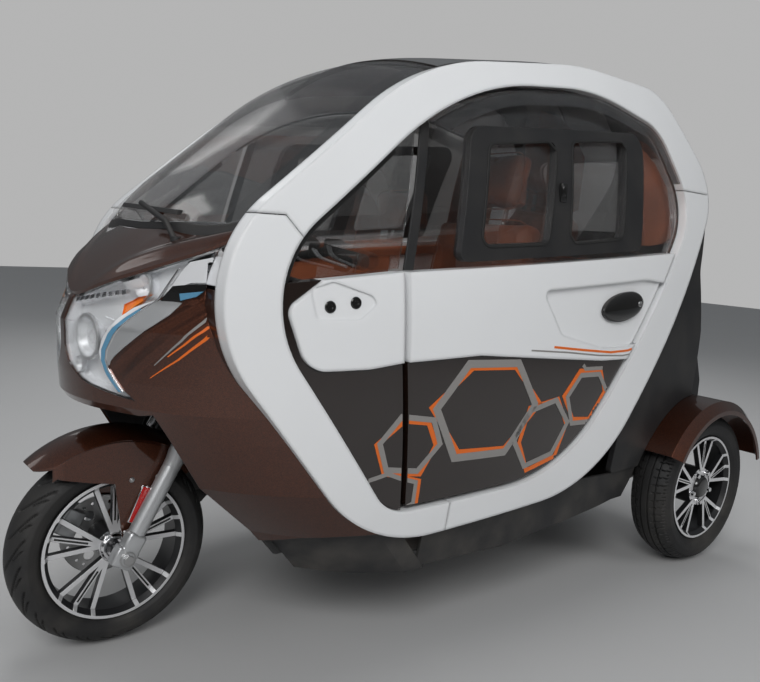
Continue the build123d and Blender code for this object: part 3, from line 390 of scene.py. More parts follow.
def fork_along(tree):
    """Distance up the steering axis from the front axle, in metres."""
    axle, up = (0, FRONT_AXLE_Y, FRONT_TYRE_R), (0, math.sin(RAKE), math.cos(RAKE))
    links = {0: object_place(tree), 1: axle}
    moved = add_node(tree, "ShaderNodeVectorMath", links, operation="SUBTRACT").outputs[0]
    return add_node(tree, "ShaderNodeVectorMath", {0: moved, 1: up}, operation="DOT_PRODUCT").outputs["Value"]


FORK_LEG_TOP = 0.2625
FORK_BRIDGE = 0.409


def fork_colour(tree):
    """Silver lower legs, bright upper tubes, black bridge."""
    along = fork_along(tree)
    upper = math_node(tree, "GREATER_THAN", along, FORK_LEG_TOP)
    bridge = math_node(tree, "GREATER_THAN", along, FORK_BRIDGE)
    tone = mix_colour(tree, upper, (0.55, 0.56, 0.57), (0.75, 0.75, 0.76))
    return mix_colour(tree, bridge, tone, (0.02, 0.02, 0.021))


def fork_metallic(tree):
    along = fork_along(tree)
    upper = math_node(tree, "GREATER_THAN", along, FORK_LEG_TOP)
    bridge = math_node(tree, "LESS_THAN", along, FORK_BRIDGE)
    return math_node(tree, "MULTIPLY", math_node(tree, "MAXIMUM", upper, 0.7), bridge)


def fork_roughness(tree):
    upper = math_node(tree, "GREATER_THAN", fork_along(tree), FORK_LEG_TOP)
    return ranged(tree, upper, 0.34, 0.12)


# Where the black band round the windscreen ends and is full: in from the side, station and height.
SCREEN_SIDE, SCREEN_TOP, SCREEN_LOW = (82, 72), (556, 562), (990, 984)


def screen_border(tree):
    """The black band round the windscreen's edge, inwards from the ring and up from the base."""
    side = place_group(tree, GROUPS["side"]).outputs
    edge = smooth_step(tree, side["Inset"], *SCREEN_SIDE)
    top = smooth_step(tree, side["Station"], *SCREEN_TOP)
    low = smooth_step(tree, side["Height"], *SCREEN_LOW)
    return math_node(tree, "MAXIMUM", math_node(tree, "MAXIMUM", edge, top), low)


def screen_colour(tree):
    return mix_colour(tree, screen_border(tree), tuple(colours().tint), (0.004, 0.004, 0.004))


COWL_CREASES = (((179, 692), (343, 849)), ((200, 661), (347, 820)))
CREASE_WIDTH = 15
CREASE_START = (-12, 30)


def cowl_creases(tree):
    """Two sharp ridges that run back up the cowl from its tip, as a height."""
    calc = partial(math_node, tree)
    axes = axes_of(tree, object_place(tree))
    across = calc("MULTIPLY", calc("ABSOLUTE", axes["X"]), 1000)
    height = calc("MULTIPLY", axes["Z"], 1000)
    total = None
    for (x0, z0), (x1, z1) in COWL_CREASES:
        length = math.hypot(x1 - x0, z1 - z0)
        side = calc("MULTIPLY", calc("SUBTRACT", across, x0), (z1 - z0) / length)
        rise = calc("MULTIPLY", calc("SUBTRACT", height, z0), (x1 - x0) / length)
        ridge = smooth_step(tree, calc("ABSOLUTE", calc("SUBTRACT", side, rise)), CREASE_WIDTH, 0)
        ridge = calc("MULTIPLY", ridge, smooth_step(tree, across, x0 + CREASE_START[0], x0 + CREASE_START[1]))
        total = ridge if total is None else calc("MAXIMUM", total, ridge)
    return total


# The sliding window lies between four slanted lines: what is tested, the other measure, slope and offset.
WINDOW_EDGES = (
    ("GREATER_THAN", "Station", "Height", 0.2, 455.0),
    ("LESS_THAN", "Station", "Height", 0.28, 970.0),
    ("GREATER_THAN", "Height", "Station", 0.076, 902.0),
    ("LESS_THAN", "Height", "Station", 0.125, 1136.0),
)


def door_glass_colour(tree):
    """Dark round the sliding window, nearly clear in its panes."""
    side = place_group(tree, GROUPS["side"]).outputs
    inside = 1.0
    for test, measured, other, slope, offset in WINDOW_EDGES:
        line = math_node(tree, "MULTIPLY_ADD", side[other], slope, offset)
        inside = math_node(tree, "MULTIPLY", math_node(tree, test, side[measured], line), inside)
    return mix_colour(tree, inside, tuple(colours().tint), (0.80, 0.80, 0.78))


GLASS_OPACITY, LIGHT_GAP = 0.5, -0.75


def light_gap(tree):
    """Opacity of the glazing: half to the eye, none to the light that falls through it on the cabin."""
    path = add_node(tree, "ShaderNodeLightPath").outputs
    passing = math_node(tree, "MAXIMUM", path["Is Shadow Ray"], path["Is Diffuse Ray"])
    return math_node(tree, "MULTIPLY_ADD", passing, LIGHT_GAP, GLASS_OPACITY)


def glass_finish(name, tint, roughness, colour_link=None):
    """Glazing that lets light through, with plain metallic and transmission values."""
    finish(
        name, tint, roughness, ripple=(4.0, 0.008, 0.0), edge=0.001, colour_link=colour_link,
        transmission_weight=1.0, ior=1.45, alpha=light_gap,
    )


def shades(tone, dark, bright):
    """A darker and a brighter shade of a tone."""
    return tuple(c * dark for c in tone), tuple(min(c * bright, 1) for c in tone)


def make_finishes():
    GROUPS["moulded"] = build_moulded_group()
    GROUPS["dust"] = build_dust_group()
    GROUPS["side"] = build_side_place_group()
    tones = colours()
    ring, body, door = tuple(tones.ring), tuple(tones.body), tuple(tones.door)
    finish(
        "ring_white", ring, 0.2, dust=0.12, ripple=(60.0, 0.02, 0.0), edge=0.012, coat_weight=0.6,
        coat_roughness=0.05,
    )
    copper = {
        "ripple": (55.0, 0.02, 0.0), "metallic": 0.75, "coat_weight": 1.0, "coat_roughness": 0.04,
        # The copper's flakes carry a painted sheen that darkens them towards grazing angles.
        "colour_link": flake_and_sheen_colour(*shades(body, 0.55, 1.6)),
    }
    finish("body_copper", body, 0.34, dust=0.1, **copper)
    finish("cowl_copper", body, 0.34, dust=0.06, relief=cowl_creases, **copper)
    finish("door_dark", door, 0.22, dust=0.05, ripple=(50.0, 0.02, 0.0), coat_weight=0.8, coat_roughness=0.05)
    finish(
        "roof_black", tuple(tones.roof), 0.16, dust=0.2, ripple=(40.0, 0.02, 0.0), coat_weight=1.0,
        coat_roughness=0.03,
    )
    finish("black_grained", tuple(tones.plastic), 0.5, dust=0.3, ripple=(900.0, 0.25, 0.8))
    finish("black_gloss", (0.008, 0.008, 0.008), 0.12, dust=0.05, ripple=(60.0, 0.02, 0.0), coat_weight=0.5)
    finish("frame_black", (0.02, 0.02, 0.021), 0.38, dust=0.5, ripple=(200.0, 0.08, 0.0))
    finish("seal_rubber", (0.012, 0.012, 0.012), 0.62, dust=0.2, ripple=(500.0, 0.15, 0.0))
    finish("tyre_rubber", (0.011, 0.011, 0.0115), 0.62, dust=0.12, ripple=(700.0, 0.2, 0.0), edge=0.0006)
    finish(
        "alloy", (0.6, 0.6, 0.6), 0.28, ripple=(400.0, 0.03, 0.0), edge=0.0015, metallic=machined_metallic,
        colour_link=machined_colour, rough_link=machined_roughness,
    )
    finish(
        "fork_finish", (0.5, 0.5, 0.5), 0.3, ripple=(150.0, 0.02, 0.0), metallic=fork_metallic,
        colour_link=fork_colour, rough_link=fork_roughness,
    )
    finish("chrome", (0.78, 0.78, 0.79), 0.08, ripple=(50.0, 0.01, 0.0), metallic=1.0)
    finish("silver_lacquer", (0.55, 0.56, 0.57), 0.32, dust=0.2, ripple=(120.0, 0.03, 0.0), metallic=0.7)
    finish("steel", (0.5, 0.5, 0.5), 0.3, dust=0.25, ripple=(300.0, 0.06, 0.0), metallic=1.0,
           rough_link=mottled_roughness(0.22, 0.42, 40.0))
    finish("stripe_warm", tuple(tones.stripe_warm), 0.35, ripple=(200.0, 0.02, 0.0), edge=0.0)
    finish("stripe_cool", tuple(tones.stripe_cool), 0.35, ripple=(200.0, 0.02, 0.0), edge=0.0)
    leather = tuple(tones.leather)
    finish(
        "seat_leather", leather, 0.45, ripple=(420.0, 0.35, 0.7), edge=0.0, sheen_weight=0.15,
        colour_link=mottled_colour(*shades(leather, 0.75, 1.25), 9.0),
        rough_link=mottled_roughness(0.36, 0.58, 30.0),
    )
    glass_finish("screen_glass", tuple(tones.tint), 0.02, colour_link=screen_colour)
    glass_finish("door_glass", tuple(tones.tint), 0.02, colour_link=door_glass_colour)
    glass_finish("clear_glass", (0.93, 0.95, 0.95), 0.02)
    glass_finish("lamp_clear", (0.96, 0.97, 0.97), 0.02)
    finish("polished", (0.78, 0.78, 0.79), 0.3, ripple=(400.0, 0.03, 0.0), edge=0.0, metallic=0.6)
    # Lamp chrome with a painted reflection: mostly diffuse near-white, so trays, bowls, fills and wings look
    # bright where true chrome would mirror the dark hall.
    finish("lamp_chrome_painted_reflection", (0.93, 0.94, 0.96), 0.22, ripple=(30.0, 0.02, 0.0), metallic=0.35)
    finish("light_guide", (0.10, 0.27, 0.42), 0.18, ripple=(300.0, 0.05, 0.0), coat_weight=0.5)
    glass_finish("lamp_red", (0.65, 0.02, 0.015), 0.08)
    finish("lamp_amber", (0.95, 0.26, 0.01), 0.2, ripple=(900.0, 0.5, 1.0), edge=0.0, coat_weight=0.6)
    finish("reflector_red", (0.45, 0.006, 0.005), 0.12, ripple=(350.0, 0.6, 1.0), edge=0.001, coat_weight=0.8)


CAD_FINISHES = {
    "brake_disc": "steel", "chassis_frame": "frame_black", "cowl_strip": "black_grained",
    "dashboard": "black_grained", "driver_seat": "seat_leather", "floor_tub": "black_grained",
    "fork": "fork_finish", "front_fender": "body_copper", "front_rim": "alloy", "front_tyre": "tyre_rubber",
    "handlebar": "seal_rubber", "headlamps": "lamp_clear", "hood": "body_copper", "nose_cowl": "cowl_copper",
    "quarter_belts": "ring_white", "quarter_glass": "clear_glass", "quarter_skirts": "door_dark",
    "rear_axle": "frame_black", "rear_bench": "seat_leather", "rear_bumper": "frame_black",
    "rear_fenders": "body_copper", "rear_panel": "roof_black", "rear_quarters": "black_grained",
    "rear_window": "door_glass", "ring_front": "ring_white", "ring_rear": "ring_white",
    "ring_top": "ring_white", "roof_panel": "roof_black", "seat_boxes": "black_grained",
    "tail_box": "black_grained", "tail_lamps": "lamp_red", "wheel_liner": "black_grained",
    "windscreen": "screen_glass",
}
for side in ("left", "right"):
    CAD_FINISHES.update({
        f"door_skin_{side}": "door_dark", f"door_belt_{side}": "ring_white",
        f"door_glass_{side}": "door_glass", f"door_trim_{side}": "black_grained",
        f"rear_rim_{side}": "alloy", f"rear_tyre_{side}": "tyre_rubber",
    })


class CAR_OT_finishes(bpy.types.Operator):
    """Builds the finishes and puts one on every node of the fixed frame"""

    bl_idname = "car.finishes"
    bl_label = "Finishes"

    def execute(self, context):
        make_finishes()
        for name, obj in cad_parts.items():
            obj.data.materials.clear()
            obj.data.materials.append(MATERIALS[CAD_FINISHES[name]])
        return {"FINISHED"}


STUDIO_LAMPS = (
    {"name": "key", "place": (3.2, -3.4, 3.6), "target": (0.2, -0.3, 0.7), "size": 2.6, "watts": 140},
    {"name": "fill", "place": (4.0, 2.0, 2.4), "target": (0.2, 0.1, 0.7), "size": 2.4, "watts": 45},
    {"name": "top", "place": (-0.6, 0.0, 4.2), "target": (0, 0, 0.7), "size": 3.0, "watts": 75},
    {"name": "back", "place": (-3.6, 2.6, 2.6), "target": (0, 0.2, 0.8), "size": 2.2, "watts": 50},
)
FLOOR_REACH = 14.0
HALL_LOW, HALL_HIGH, BACKDROP = (0.09, 0.09, 0.09), (0.34, 0.36, 0.38), (0.46, 0.46, 0.46)
SKYLIGHT_COUNT, HALL_STRENGTH, SKYLIGHT_STRENGTH = 9.0, 0.7, 0.7


class CAR_OT_stage(bpy.types.Operator):
    """Sets up the floor, the backdrop, the studio lights and the camera"""

    bl_idname = "car.stage"
    bl_label = "Stage"

    def execute(self, context):
        scene = context.scene
        scene.view_settings.view_transform = "Standard"
        self.add_camera(scene)
        self.add_floor()
        self.add_world(scene)
        for row in STUDIO_LAMPS:
            lamp = bpy.data.lights.new(f"{row['name']}_light", "AREA")
            lamp.shape, lamp.size, lamp.energy = "DISK", row["size"], row["watts"]
            obj = bpy.data.objects.new(lamp.name, lamp)
            scene.collection.objects.link(obj)
            obj.location = row["place"]
            way = Vector(row["target"]) - Vector(row["place"])
            obj.rotation_euler = way.to_track_quat("-Z", "Y").to_euler()
            obj.visible_glossy = row["name"] == "key"
            obj.visible_transmission = obj.visible_camera = False
        return {"FINISHED"}

    def add_camera(self, scene):
        yaw, pitch, roll = (math.radians(a) for a in (CAMERA_YAW, CAMERA_PITCH, CAMERA_ROLL))
        back = Vector((math.sin(yaw) * math.cos(pitch), -math.cos(yaw) * math.cos(pitch), math.sin(pitch)))
        right = (-back).cross(Vector((0, 0, 1))).normalized()
        up = right.cross(-back)
        level_x = right * math.cos(roll) + up * math.sin(roll)
        level_y = up * math.cos(roll) - right * math.sin(roll)
        data = bpy.data.cameras.new("photo_camera")
        data.sensor_fit = "HORIZONTAL"
        data.sensor_width = SENSOR_WIDTH
        data.lens = FOCAL_PIXELS * SENSOR_WIDTH / IMAGE_SIZE[0]
        data.clip_start = 0.05
        camera = bpy.data.objects.new("photo_camera", data)
        scene.collection.objects.link(camera)
        turn = Matrix((level_x, level_y, back)).transposed().to_4x4()
        camera.matrix_world = Matrix.Translation(CAMERA_PLACE) @ turn
        scene.camera = camera

    def add_floor(self):
        mesh = bpy.data.meshes.new("floor")
        corners = [(x * FLOOR_REACH, y * FLOOR_REACH, 0) for x, y in ((-1, -1), (1, -1), (1, 1), (-1, 1))]
        mesh.from_pydata(corners, [], [(0, 1, 2, 3)])
        floor = bpy.data.objects.new("floor", mesh)
        bpy.context.scene.collection.objects.link(floor)
        made = bpy.data.materials.new("studio_floor")
        made.use_nodes = True
        tree = made.node_tree
        shader = tree.nodes["Principled BSDF"]
        shader.inputs["Roughness"].default_value = 0.7
        noise = noise_at(tree, object_place(tree), 1.5, 6.0)
        tone = tuple(colours().floor)
        tree.links.new(mix_colour(tree, noise, shades(tone, 0.96, 1)[0], tone), shader.inputs["Base Color"])
        floor.data.materials.append(made)

    def add_world(self, scene):
        """A dark hall for reflections with pale skylights overhead, and an even grey behind the car."""
        world = bpy.data.worlds.new("studio")
        world.use_nodes = True
        tree = world.node_tree
        ground = tree.nodes["Background"]
        axes = axes_of(tree, object_place(tree))
        hall = mix_colour(tree, smooth_step(tree, axes["Z"], -0.05, 0.9), HALL_LOW, HALL_HIGH)
        round_about = math_node(tree, "ARCTAN2", axes["Y"], axes["X"])
        waves = math_node(tree, "SINE", math_node(tree, "MULTIPLY", round_about, SKYLIGHT_COUNT))
        skylight = smooth_step(tree, waves, 0.45, 0.62)
        for axis, low, high in (("Z", 0.34, 0.40), ("Z", 0.66, 0.60), ("Y", 0.25, 0.0)):
            skylight = math_node(tree, "MULTIPLY", skylight, smooth_step(tree, axes[axis], low, high))
        strength = math_node(tree, "MULTIPLY_ADD", skylight, SKYLIGHT_STRENGTH, HALL_STRENGTH)
        feed(tree, ground.inputs["Color"], mix_colour(tree, skylight, hall, (1.0, 1.0, 1.0)))
        feed(tree, ground.inputs["Strength"], strength)
        plain = add_node(tree, "ShaderNodeBackground", {"Color": (*BACKDROP, 1), "Strength": 1.0})
        seen = add_node(tree, "ShaderNodeLightPath").outputs["Is Camera Ray"]
        mix = add_node(tree, "ShaderNodeMixShader", {0: seen, 1: ground.outputs[0], 2: plain.outputs[0]})
        tree.links.new(mix.outputs[0], tree.nodes["World Output"].inputs["Surface"])
        scene.world = world


# Mesh tools. Stations and heights along the side are in millimetres, everything else is in metres.


def row_y(station):
    """Y of a station, in metres."""
    return FRONT_AXLE_Y + station / 1000


def new_piece(name, body, material, bm, smooth=True):
    """Turns a bmesh into a piece that rides on a body."""
    mesh = bpy.data.meshes.new(name)
    bm.to_mesh(mesh)
    bm.free()
    mesh.materials.append(MATERIALS[material])
    return keep_piece(name, body, mesh, smooth)


def keep_piece(name, body, mesh, smooth=True):
    """Makes a mesh a piece of its own that rides on a body."""
    for polygon in mesh.polygons:
        polygon.use_smooth = smooth
    obj = bpy.data.objects.new(name, mesh)
    bpy.context.scene.collection.objects.link(obj)
    if smooth:
        mark_sharp(obj)
    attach(obj, body)
    return obj


SHARP_ANGLE = math.radians(38)


def mark_sharp(obj):
    """Smooth shading that breaks at the corners of a form."""
    mesh = obj.data
    bm = bmesh.new()
    bm.from_mesh(mesh)
    for edge in bm.edges:
        edge.smooth = len(edge.link_faces) == 2 and edge.calc_face_angle(0) < SHARP_ANGLE
    bm.to_mesh(mesh)
    bm.free()


def apply_modifiers(obj):
    """Replaces a piece's mesh by its evaluated one and takes the modifiers off."""
    graph = bpy.context.evaluated_depsgraph_get()
    mesh = bpy.data.meshes.new_from_object(obj.evaluated_get(graph))
    obj.modifiers.clear()
    old = obj.data
    obj.data = mesh
    bpy.data.meshes.remove(old)


TREES = {}


def surface_tree(*nodes):
    """Search tree over the faces of some frame nodes."""
    if nodes not in TREES:
        verts, faces = [], []
        for name in nodes:
            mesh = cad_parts[name].data
            base = len(verts)
            verts += [tuple(v.co) for v in mesh.vertices]
            faces += [tuple(base + i for i in p.vertices) for p in mesh.polygons]
        TREES[nodes] = BVHTree.FromPolygons(verts, faces)
    return TREES[nodes]


def surface_point(nodes, start, way, reach):
    """Place and outward normal where a ray first meets the nodes, or None."""
    place, normal = surface_tree(*nodes).ray_cast(start, way, reach)[:2]
    if place is None:
        return None
    return place, -normal if normal.dot(way) > 0 else normal


def side_point(nodes, station, height, sign):
    """Place and outward normal where a line along X from outside first meets the nodes, or None."""
    start = Vector((sign * 0.9, row_y(station), height / 1000))
    hit = surface_point(nodes, start, Vector((-sign, 0, 0)), 1.0)
    return hit if hit and hit[0].x * sign >= 0.05 else None


def front_point(nodes, x, height):
    """Place and outward normal where a line along Y from ahead first meets the nodes, or None."""
    return surface_point(nodes, Vector((x / 1000, -1.6, height / 1000)), Vector((0, 1, 0)), 1.2)


def rear_point(nodes, x, height):
    """Place and outward normal where a line along Y from behind first meets the nodes, or None."""
    return surface_point(nodes, Vector((x / 1000, 1.7, height / 1000)), Vector((0, -1, 0)), 1.7)


def cut_along(bm, place, normal, **clear):
    """Cuts the faces of a bmesh along a plane."""
    geometry = bm.verts[:] + bm.edges[:] + bm.faces[:]
    bmesh.ops.bisect_plane(bm, geom=geometry, plane_co=place, plane_no=normal, **clear)


# How far a sheet's rim goes into the panel under it.
RIM_BITE = 0.0004


def sheet_on_side(
    name, body, material, nodes, polygons, sign, lift=0.0004, thick=0.0006, pitch=10, clips=(),
):
    """A thin sheet of flat-drawn polygons laid on the car's side, with a rim that goes down to the panel."""
    bm = bmesh.new()
    for polygon in polygons:
        bm.faces.new([bm.verts.new((0, s, z)) for s, z in polygon])
    low = [min(p[k] for polygon in polygons for p in polygon) for k in (0, 1)]
    high = [max(p[k] for polygon in polygons for p in polygon) for k in (0, 1)]
    for k, axis in ((0, Vector((0, 1, 0))), (1, Vector((0, 0, 1)))):
        for i in range(int(low[k] // pitch) + 1, int(high[k] // pitch) + 1):
            cut_along(bm, axis * i * pitch, axis)
    for (s, z), (ds, dz) in clips:
        cut_along(bm, (0, s, z), (0, ds, dz), clear_outer=True)
    bmesh.ops.remove_doubles(bm, verts=bm.verts[:], dist=0.01)
    missed = []
    for vert in bm.verts:
        hit = side_point(nodes, vert.co.y, vert.co.z, sign)
        if hit is None:
            missed.append(vert)
            continue
        place, normal = hit
        vert.co = place + normal * (lift + thick)
    bmesh.ops.delete(bm, geom=missed, context="VERTS")
    if not bm.faces:
        bm.free()
        return None
    bmesh.ops.recalc_face_normals(bm, faces=bm.faces[:])
    if sum(face.normal.x * face.calc_area() for face in bm.faces) * sign < 0:
        bmesh.ops.reverse_faces(bm, faces=bm.faces[:])
    rims = [edge for edge in bm.edges if len(edge.link_faces) == 1]
    walls = bmesh.ops.extrude_edge_only(bm, edges=rims)["geom"]
    for vert in (g for g in walls if isinstance(g, bmesh.types.BMVert)):
        vert.co.x -= sign * (thick + lift + RIM_BITE)
    return new_piece(name, body, material, bm)


def band_polygons(corners, width, closed=True):
    """Quads of a band of even width along a line of corners, mitred where they meet."""
    count = len(corners)
    points = [Vector(c) for c in corners]
    rims = []
    for k in range(count):
        back = points[k - 1] if closed or k else None
        ahead = points[(k + 1) % count] if closed or k < count - 1 else None
        into = (points[k] - back).normalized() if back else (ahead - points[k]).normalized()
        out = (ahead - points[k]).normalized() if ahead else into
        a, b = Vector((-into.y, into.x)), Vector((-out.y, out.x))
        mitre = (a + b) / max(1 + a.dot(b), 0.35)
        rims.append((points[k] + mitre * width / 2, points[k] - mitre * width / 2))
    last = count if closed else count - 1
    return [
        [
            tuple(rims[k][0]), tuple(rims[(k + 1) % count][0]), tuple(rims[(k + 1) % count][1]),
            tuple(rims[k][1]),
        ]
        for k in range(last)
    ]


def sweep(points, profile, closed=False, ups=None):
    """A tube of a given profile of (across, along up) pairs swept through points. Returns a bmesh."""
    bm = bmesh.new()
    count = len(points)
    rings = []
    for k in range(count):
        back = points[k - 1] if closed or k else points[k]
        ahead = points[(k + 1) % count] if closed or k < count - 1 else points[k]
        along = (ahead - back).normalized()
        up = ups[k] if ups else Vector((0, 0, 1))
        across = along.cross(up).normalized()
        up = across.cross(along).normalized()
        rings.append([bm.verts.new(points[k] + across * a + up * b) for a, b in profile])
    last = count if closed else count - 1
    sides = len(profile)
    for k in range(last):
        a, b = rings[k], rings[(k + 1) % count]
        for j in range(sides):
            bm.faces.new((a[j], b[j], b[(j + 1) % sides], a[(j + 1) % sides]))
    if not closed:
        bm.faces.new(rings[0])
        bm.faces.new(reversed(rings[-1]))
    bmesh.ops.recalc_face_normals(bm, faces=bm.faces[:])
    return bm


def shell(bm, front, back):
    """Faces of a plate between two grids of places, rows by columns, closed round its rim."""
    front, back = ([[bm.verts.new(place) for place in row] for row in grid] for grid in (front, back))
    last, end = len(front) - 1, len(front[0]) - 1
    for i in range(last):
        for j in range(end):
            bm.faces.new((front[i][j], front[i + 1][j], front[i + 1][j + 1], front[i][j + 1]))
            bm.faces.new((back[i + 1][j], back[i + 1][j + 1], back[i][j + 1], back[i][j]))
    rim = [(i, 0) for i in range(last)] + [(last, j) for j in range(end)]
    rim += [(i, end) for i in range(last, 0, -1)] + [(0, j) for j in range(end, 0, -1)]
    for (i, j), (k, m) in zip(rim, rim[1:] + rim[:1]):
        bm.faces.new((front[i][j], back[i][j], back[k][m], front[k][m]))
    bmesh.ops.recalc_face_normals(bm, faces=bm.faces[:])
    return bm


def round_profile(radius, sides=10):
    return [
        (radius * math.cos(2 * math.pi * k / sides), radius * math.sin(2 * math.pi * k / sides))
        for k in range(sides)
    ]


def lathe(profile, steps=64):
    """A closed profile of (along X, radius) pairs spun about the X axis at the origin. Returns a bmesh."""
    bm = bmesh.new()
    rings = []
    for k in range(steps):
        turn = 2 * math.pi * k / steps
        rings.append([bm.verts.new((x, r * math.cos(turn), r * math.sin(turn))) for x, r in profile])
    sides = len(profile)
    for k in range(steps):
        a, b = rings[k], rings[(k + 1) % steps]
        for j in range(sides):
            bm.faces.new((a[j], a[(j + 1) % sides], b[(j + 1) % sides], b[j]))
    bmesh.ops.remove_doubles(bm, verts=bm.verts[:], dist=1e-6)
    bmesh.ops.recalc_face_normals(bm, faces=bm.faces[:])
    return bm


def turned(name, body, material, profile, place, axis=(1, 0, 0), steps=64, slot=None):
    """A turned piece: a profile spun about an axis through a place."""
    bm = lathe(profile, steps)
    turn = Vector((1, 0, 0)).rotation_difference(Vector(axis).normalized()).to_matrix().to_4x4()
    bmesh.ops.transform(bm, matrix=Matrix.Translation(place) @ turn, verts=bm.verts[:])
    return new_piece(name, body, material, bm)


def join_into(target, other):
    """Adds one bmesh to another."""
    mesh = bpy.data.meshes.new("joined")
    other.to_mesh(mesh)
    other.free()
    target.from_mesh(mesh)
    bpy.data.meshes.remove(mesh)


# Node groups for what repeats, and the pieces made with them.


def socket_value(group, label):
    """Identifier of a group's input socket."""
    for item in group.interface.items_tree:
        if item.item_type == "SOCKET" and item.in_out == "INPUT" and item.name == label:
            return item.identifier
    raise KeyError(label)


def noded_piece(name, body, bm, group, values, marks=None):
    """Runs a node group over a bmesh and keeps the result as a plain piece on a body."""
    mesh = bpy.data.meshes.new(f"{name}_base")
    bm.to_mesh(mesh)
    bm.free()
    for label, vectors in (marks or {}).items():
        attribute = mesh.attributes.new(label, "FLOAT_VECTOR", "POINT")
        attribute.data.foreach_set("vector", [c for vector in vectors for c in vector])
    source = bpy.data.objects.new(f"{name}_base", mesh)
    bpy.context.scene.collection.objects.link(source)
    modifier = source.modifiers.new(name, "NODES")
    modifier.node_group = group
    for label, value in values.items():
        modifier[socket_value(group, label)] = value
    graph = bpy.context.evaluated_depsgraph_get()
    made = bpy.data.meshes.new_from_object(source.evaluated_get(graph))
    source.modifiers.clear()
    bpy.data.objects.remove(source)
    bpy.data.meshes.remove(mesh)
    return keep_piece(name, body, made)


def geometry_group(name, inputs):
    """A geometry node group with a geometry going in and out besides its named inputs."""
    group = bpy.data.node_groups.new(name, "GeometryNodeTree")
    group.is_modifier = True
    group.interface.new_socket("Geometry", in_out="INPUT", socket_type="NodeSocketGeometry")
    for label, kind, value in inputs:
        socket = group.interface.new_socket(label, in_out="INPUT", socket_type=f"NodeSocket{kind}")
        if value is not None:
            socket.default_value = value
    group.interface.new_socket("Geometry", in_out="OUTPUT", socket_type="NodeSocketGeometry")
    return group, group.nodes.new("NodeGroupInput"), group.nodes.new("NodeGroupOutput")


def close_group(group, start, end, geometry):
    """Ends a geometry group with real instances and the finish."""
    real = add_node(group, "GeometryNodeRealizeInstances", {0: geometry}).outputs[0]
    made = add_node(group, "GeometryNodeSetMaterial", {"Geometry": real, "Material": start.outputs["Finish"]})
    group.links.new(made.outputs[0], end.inputs["Geometry"])
    return group


def build_fastener_group():
    """A head on a washer at every point, standing along the point's facing."""
    group, start, end = geometry_group(
        "Fasteners",
        [
            ("Radius", "Float", 0.005), ("Height", "Float", 0.003), ("Sides", "Int", 6),
            ("Finish", "Material", None),
        ],
    )
    out = start.outputs
    head = add_node(
        group, "GeometryNodeMeshCylinder",
        {"Vertices": out["Sides"], "Radius": out["Radius"], "Depth": out["Height"]},
    ).outputs["Mesh"]
    washer = add_node(
        group,
        "GeometryNodeMeshCylinder",
        {
            "Vertices": 20,
            "Radius": math_node(group, "MULTIPLY", out["Radius"], 1.45),
            "Depth": math_node(group, "MULTIPLY", out["Height"], 0.3),
        },
    ).outputs["Mesh"]
    lift = add_node(
        group, "ShaderNodeCombineXYZ", {2: math_node(group, "MULTIPLY", out["Height"], 0.5)},
    ).outputs[0]
    low = add_node(
        group, "ShaderNodeCombineXYZ", {2: math_node(group, "MULTIPLY", out["Height"], 0.1)},
    ).outputs[0]
    parts = add_node(group, "GeometryNodeJoinGeometry")
    for geometry, move in ((head, lift), (washer, low)):
        moved = add_node(
            group, "GeometryNodeTransform", {"Geometry": geometry, "Translation": move},
        ).outputs[0]
        group.links.new(moved, parts.inputs[0])
    facing = add_node(
        group, "GeometryNodeInputNamedAttribute", {"Name": "facing"}, data_type="FLOAT_VECTOR",
    ).outputs[0]
    turn = add_node(group, "FunctionNodeAlignRotationToVector", {"Vector": facing}, axis="Z").outputs[0]
    placed = add_node(
        group, "GeometryNodeInstanceOnPoints",
        {"Points": out["Geometry"], "Instance": parts.outputs[0], "Rotation": turn},
    ).outputs[0]
    return close_group(group, start, end, placed)


CROWN_EDGE, SIDE_STAGGER = (0.026, 0.019), 0.25


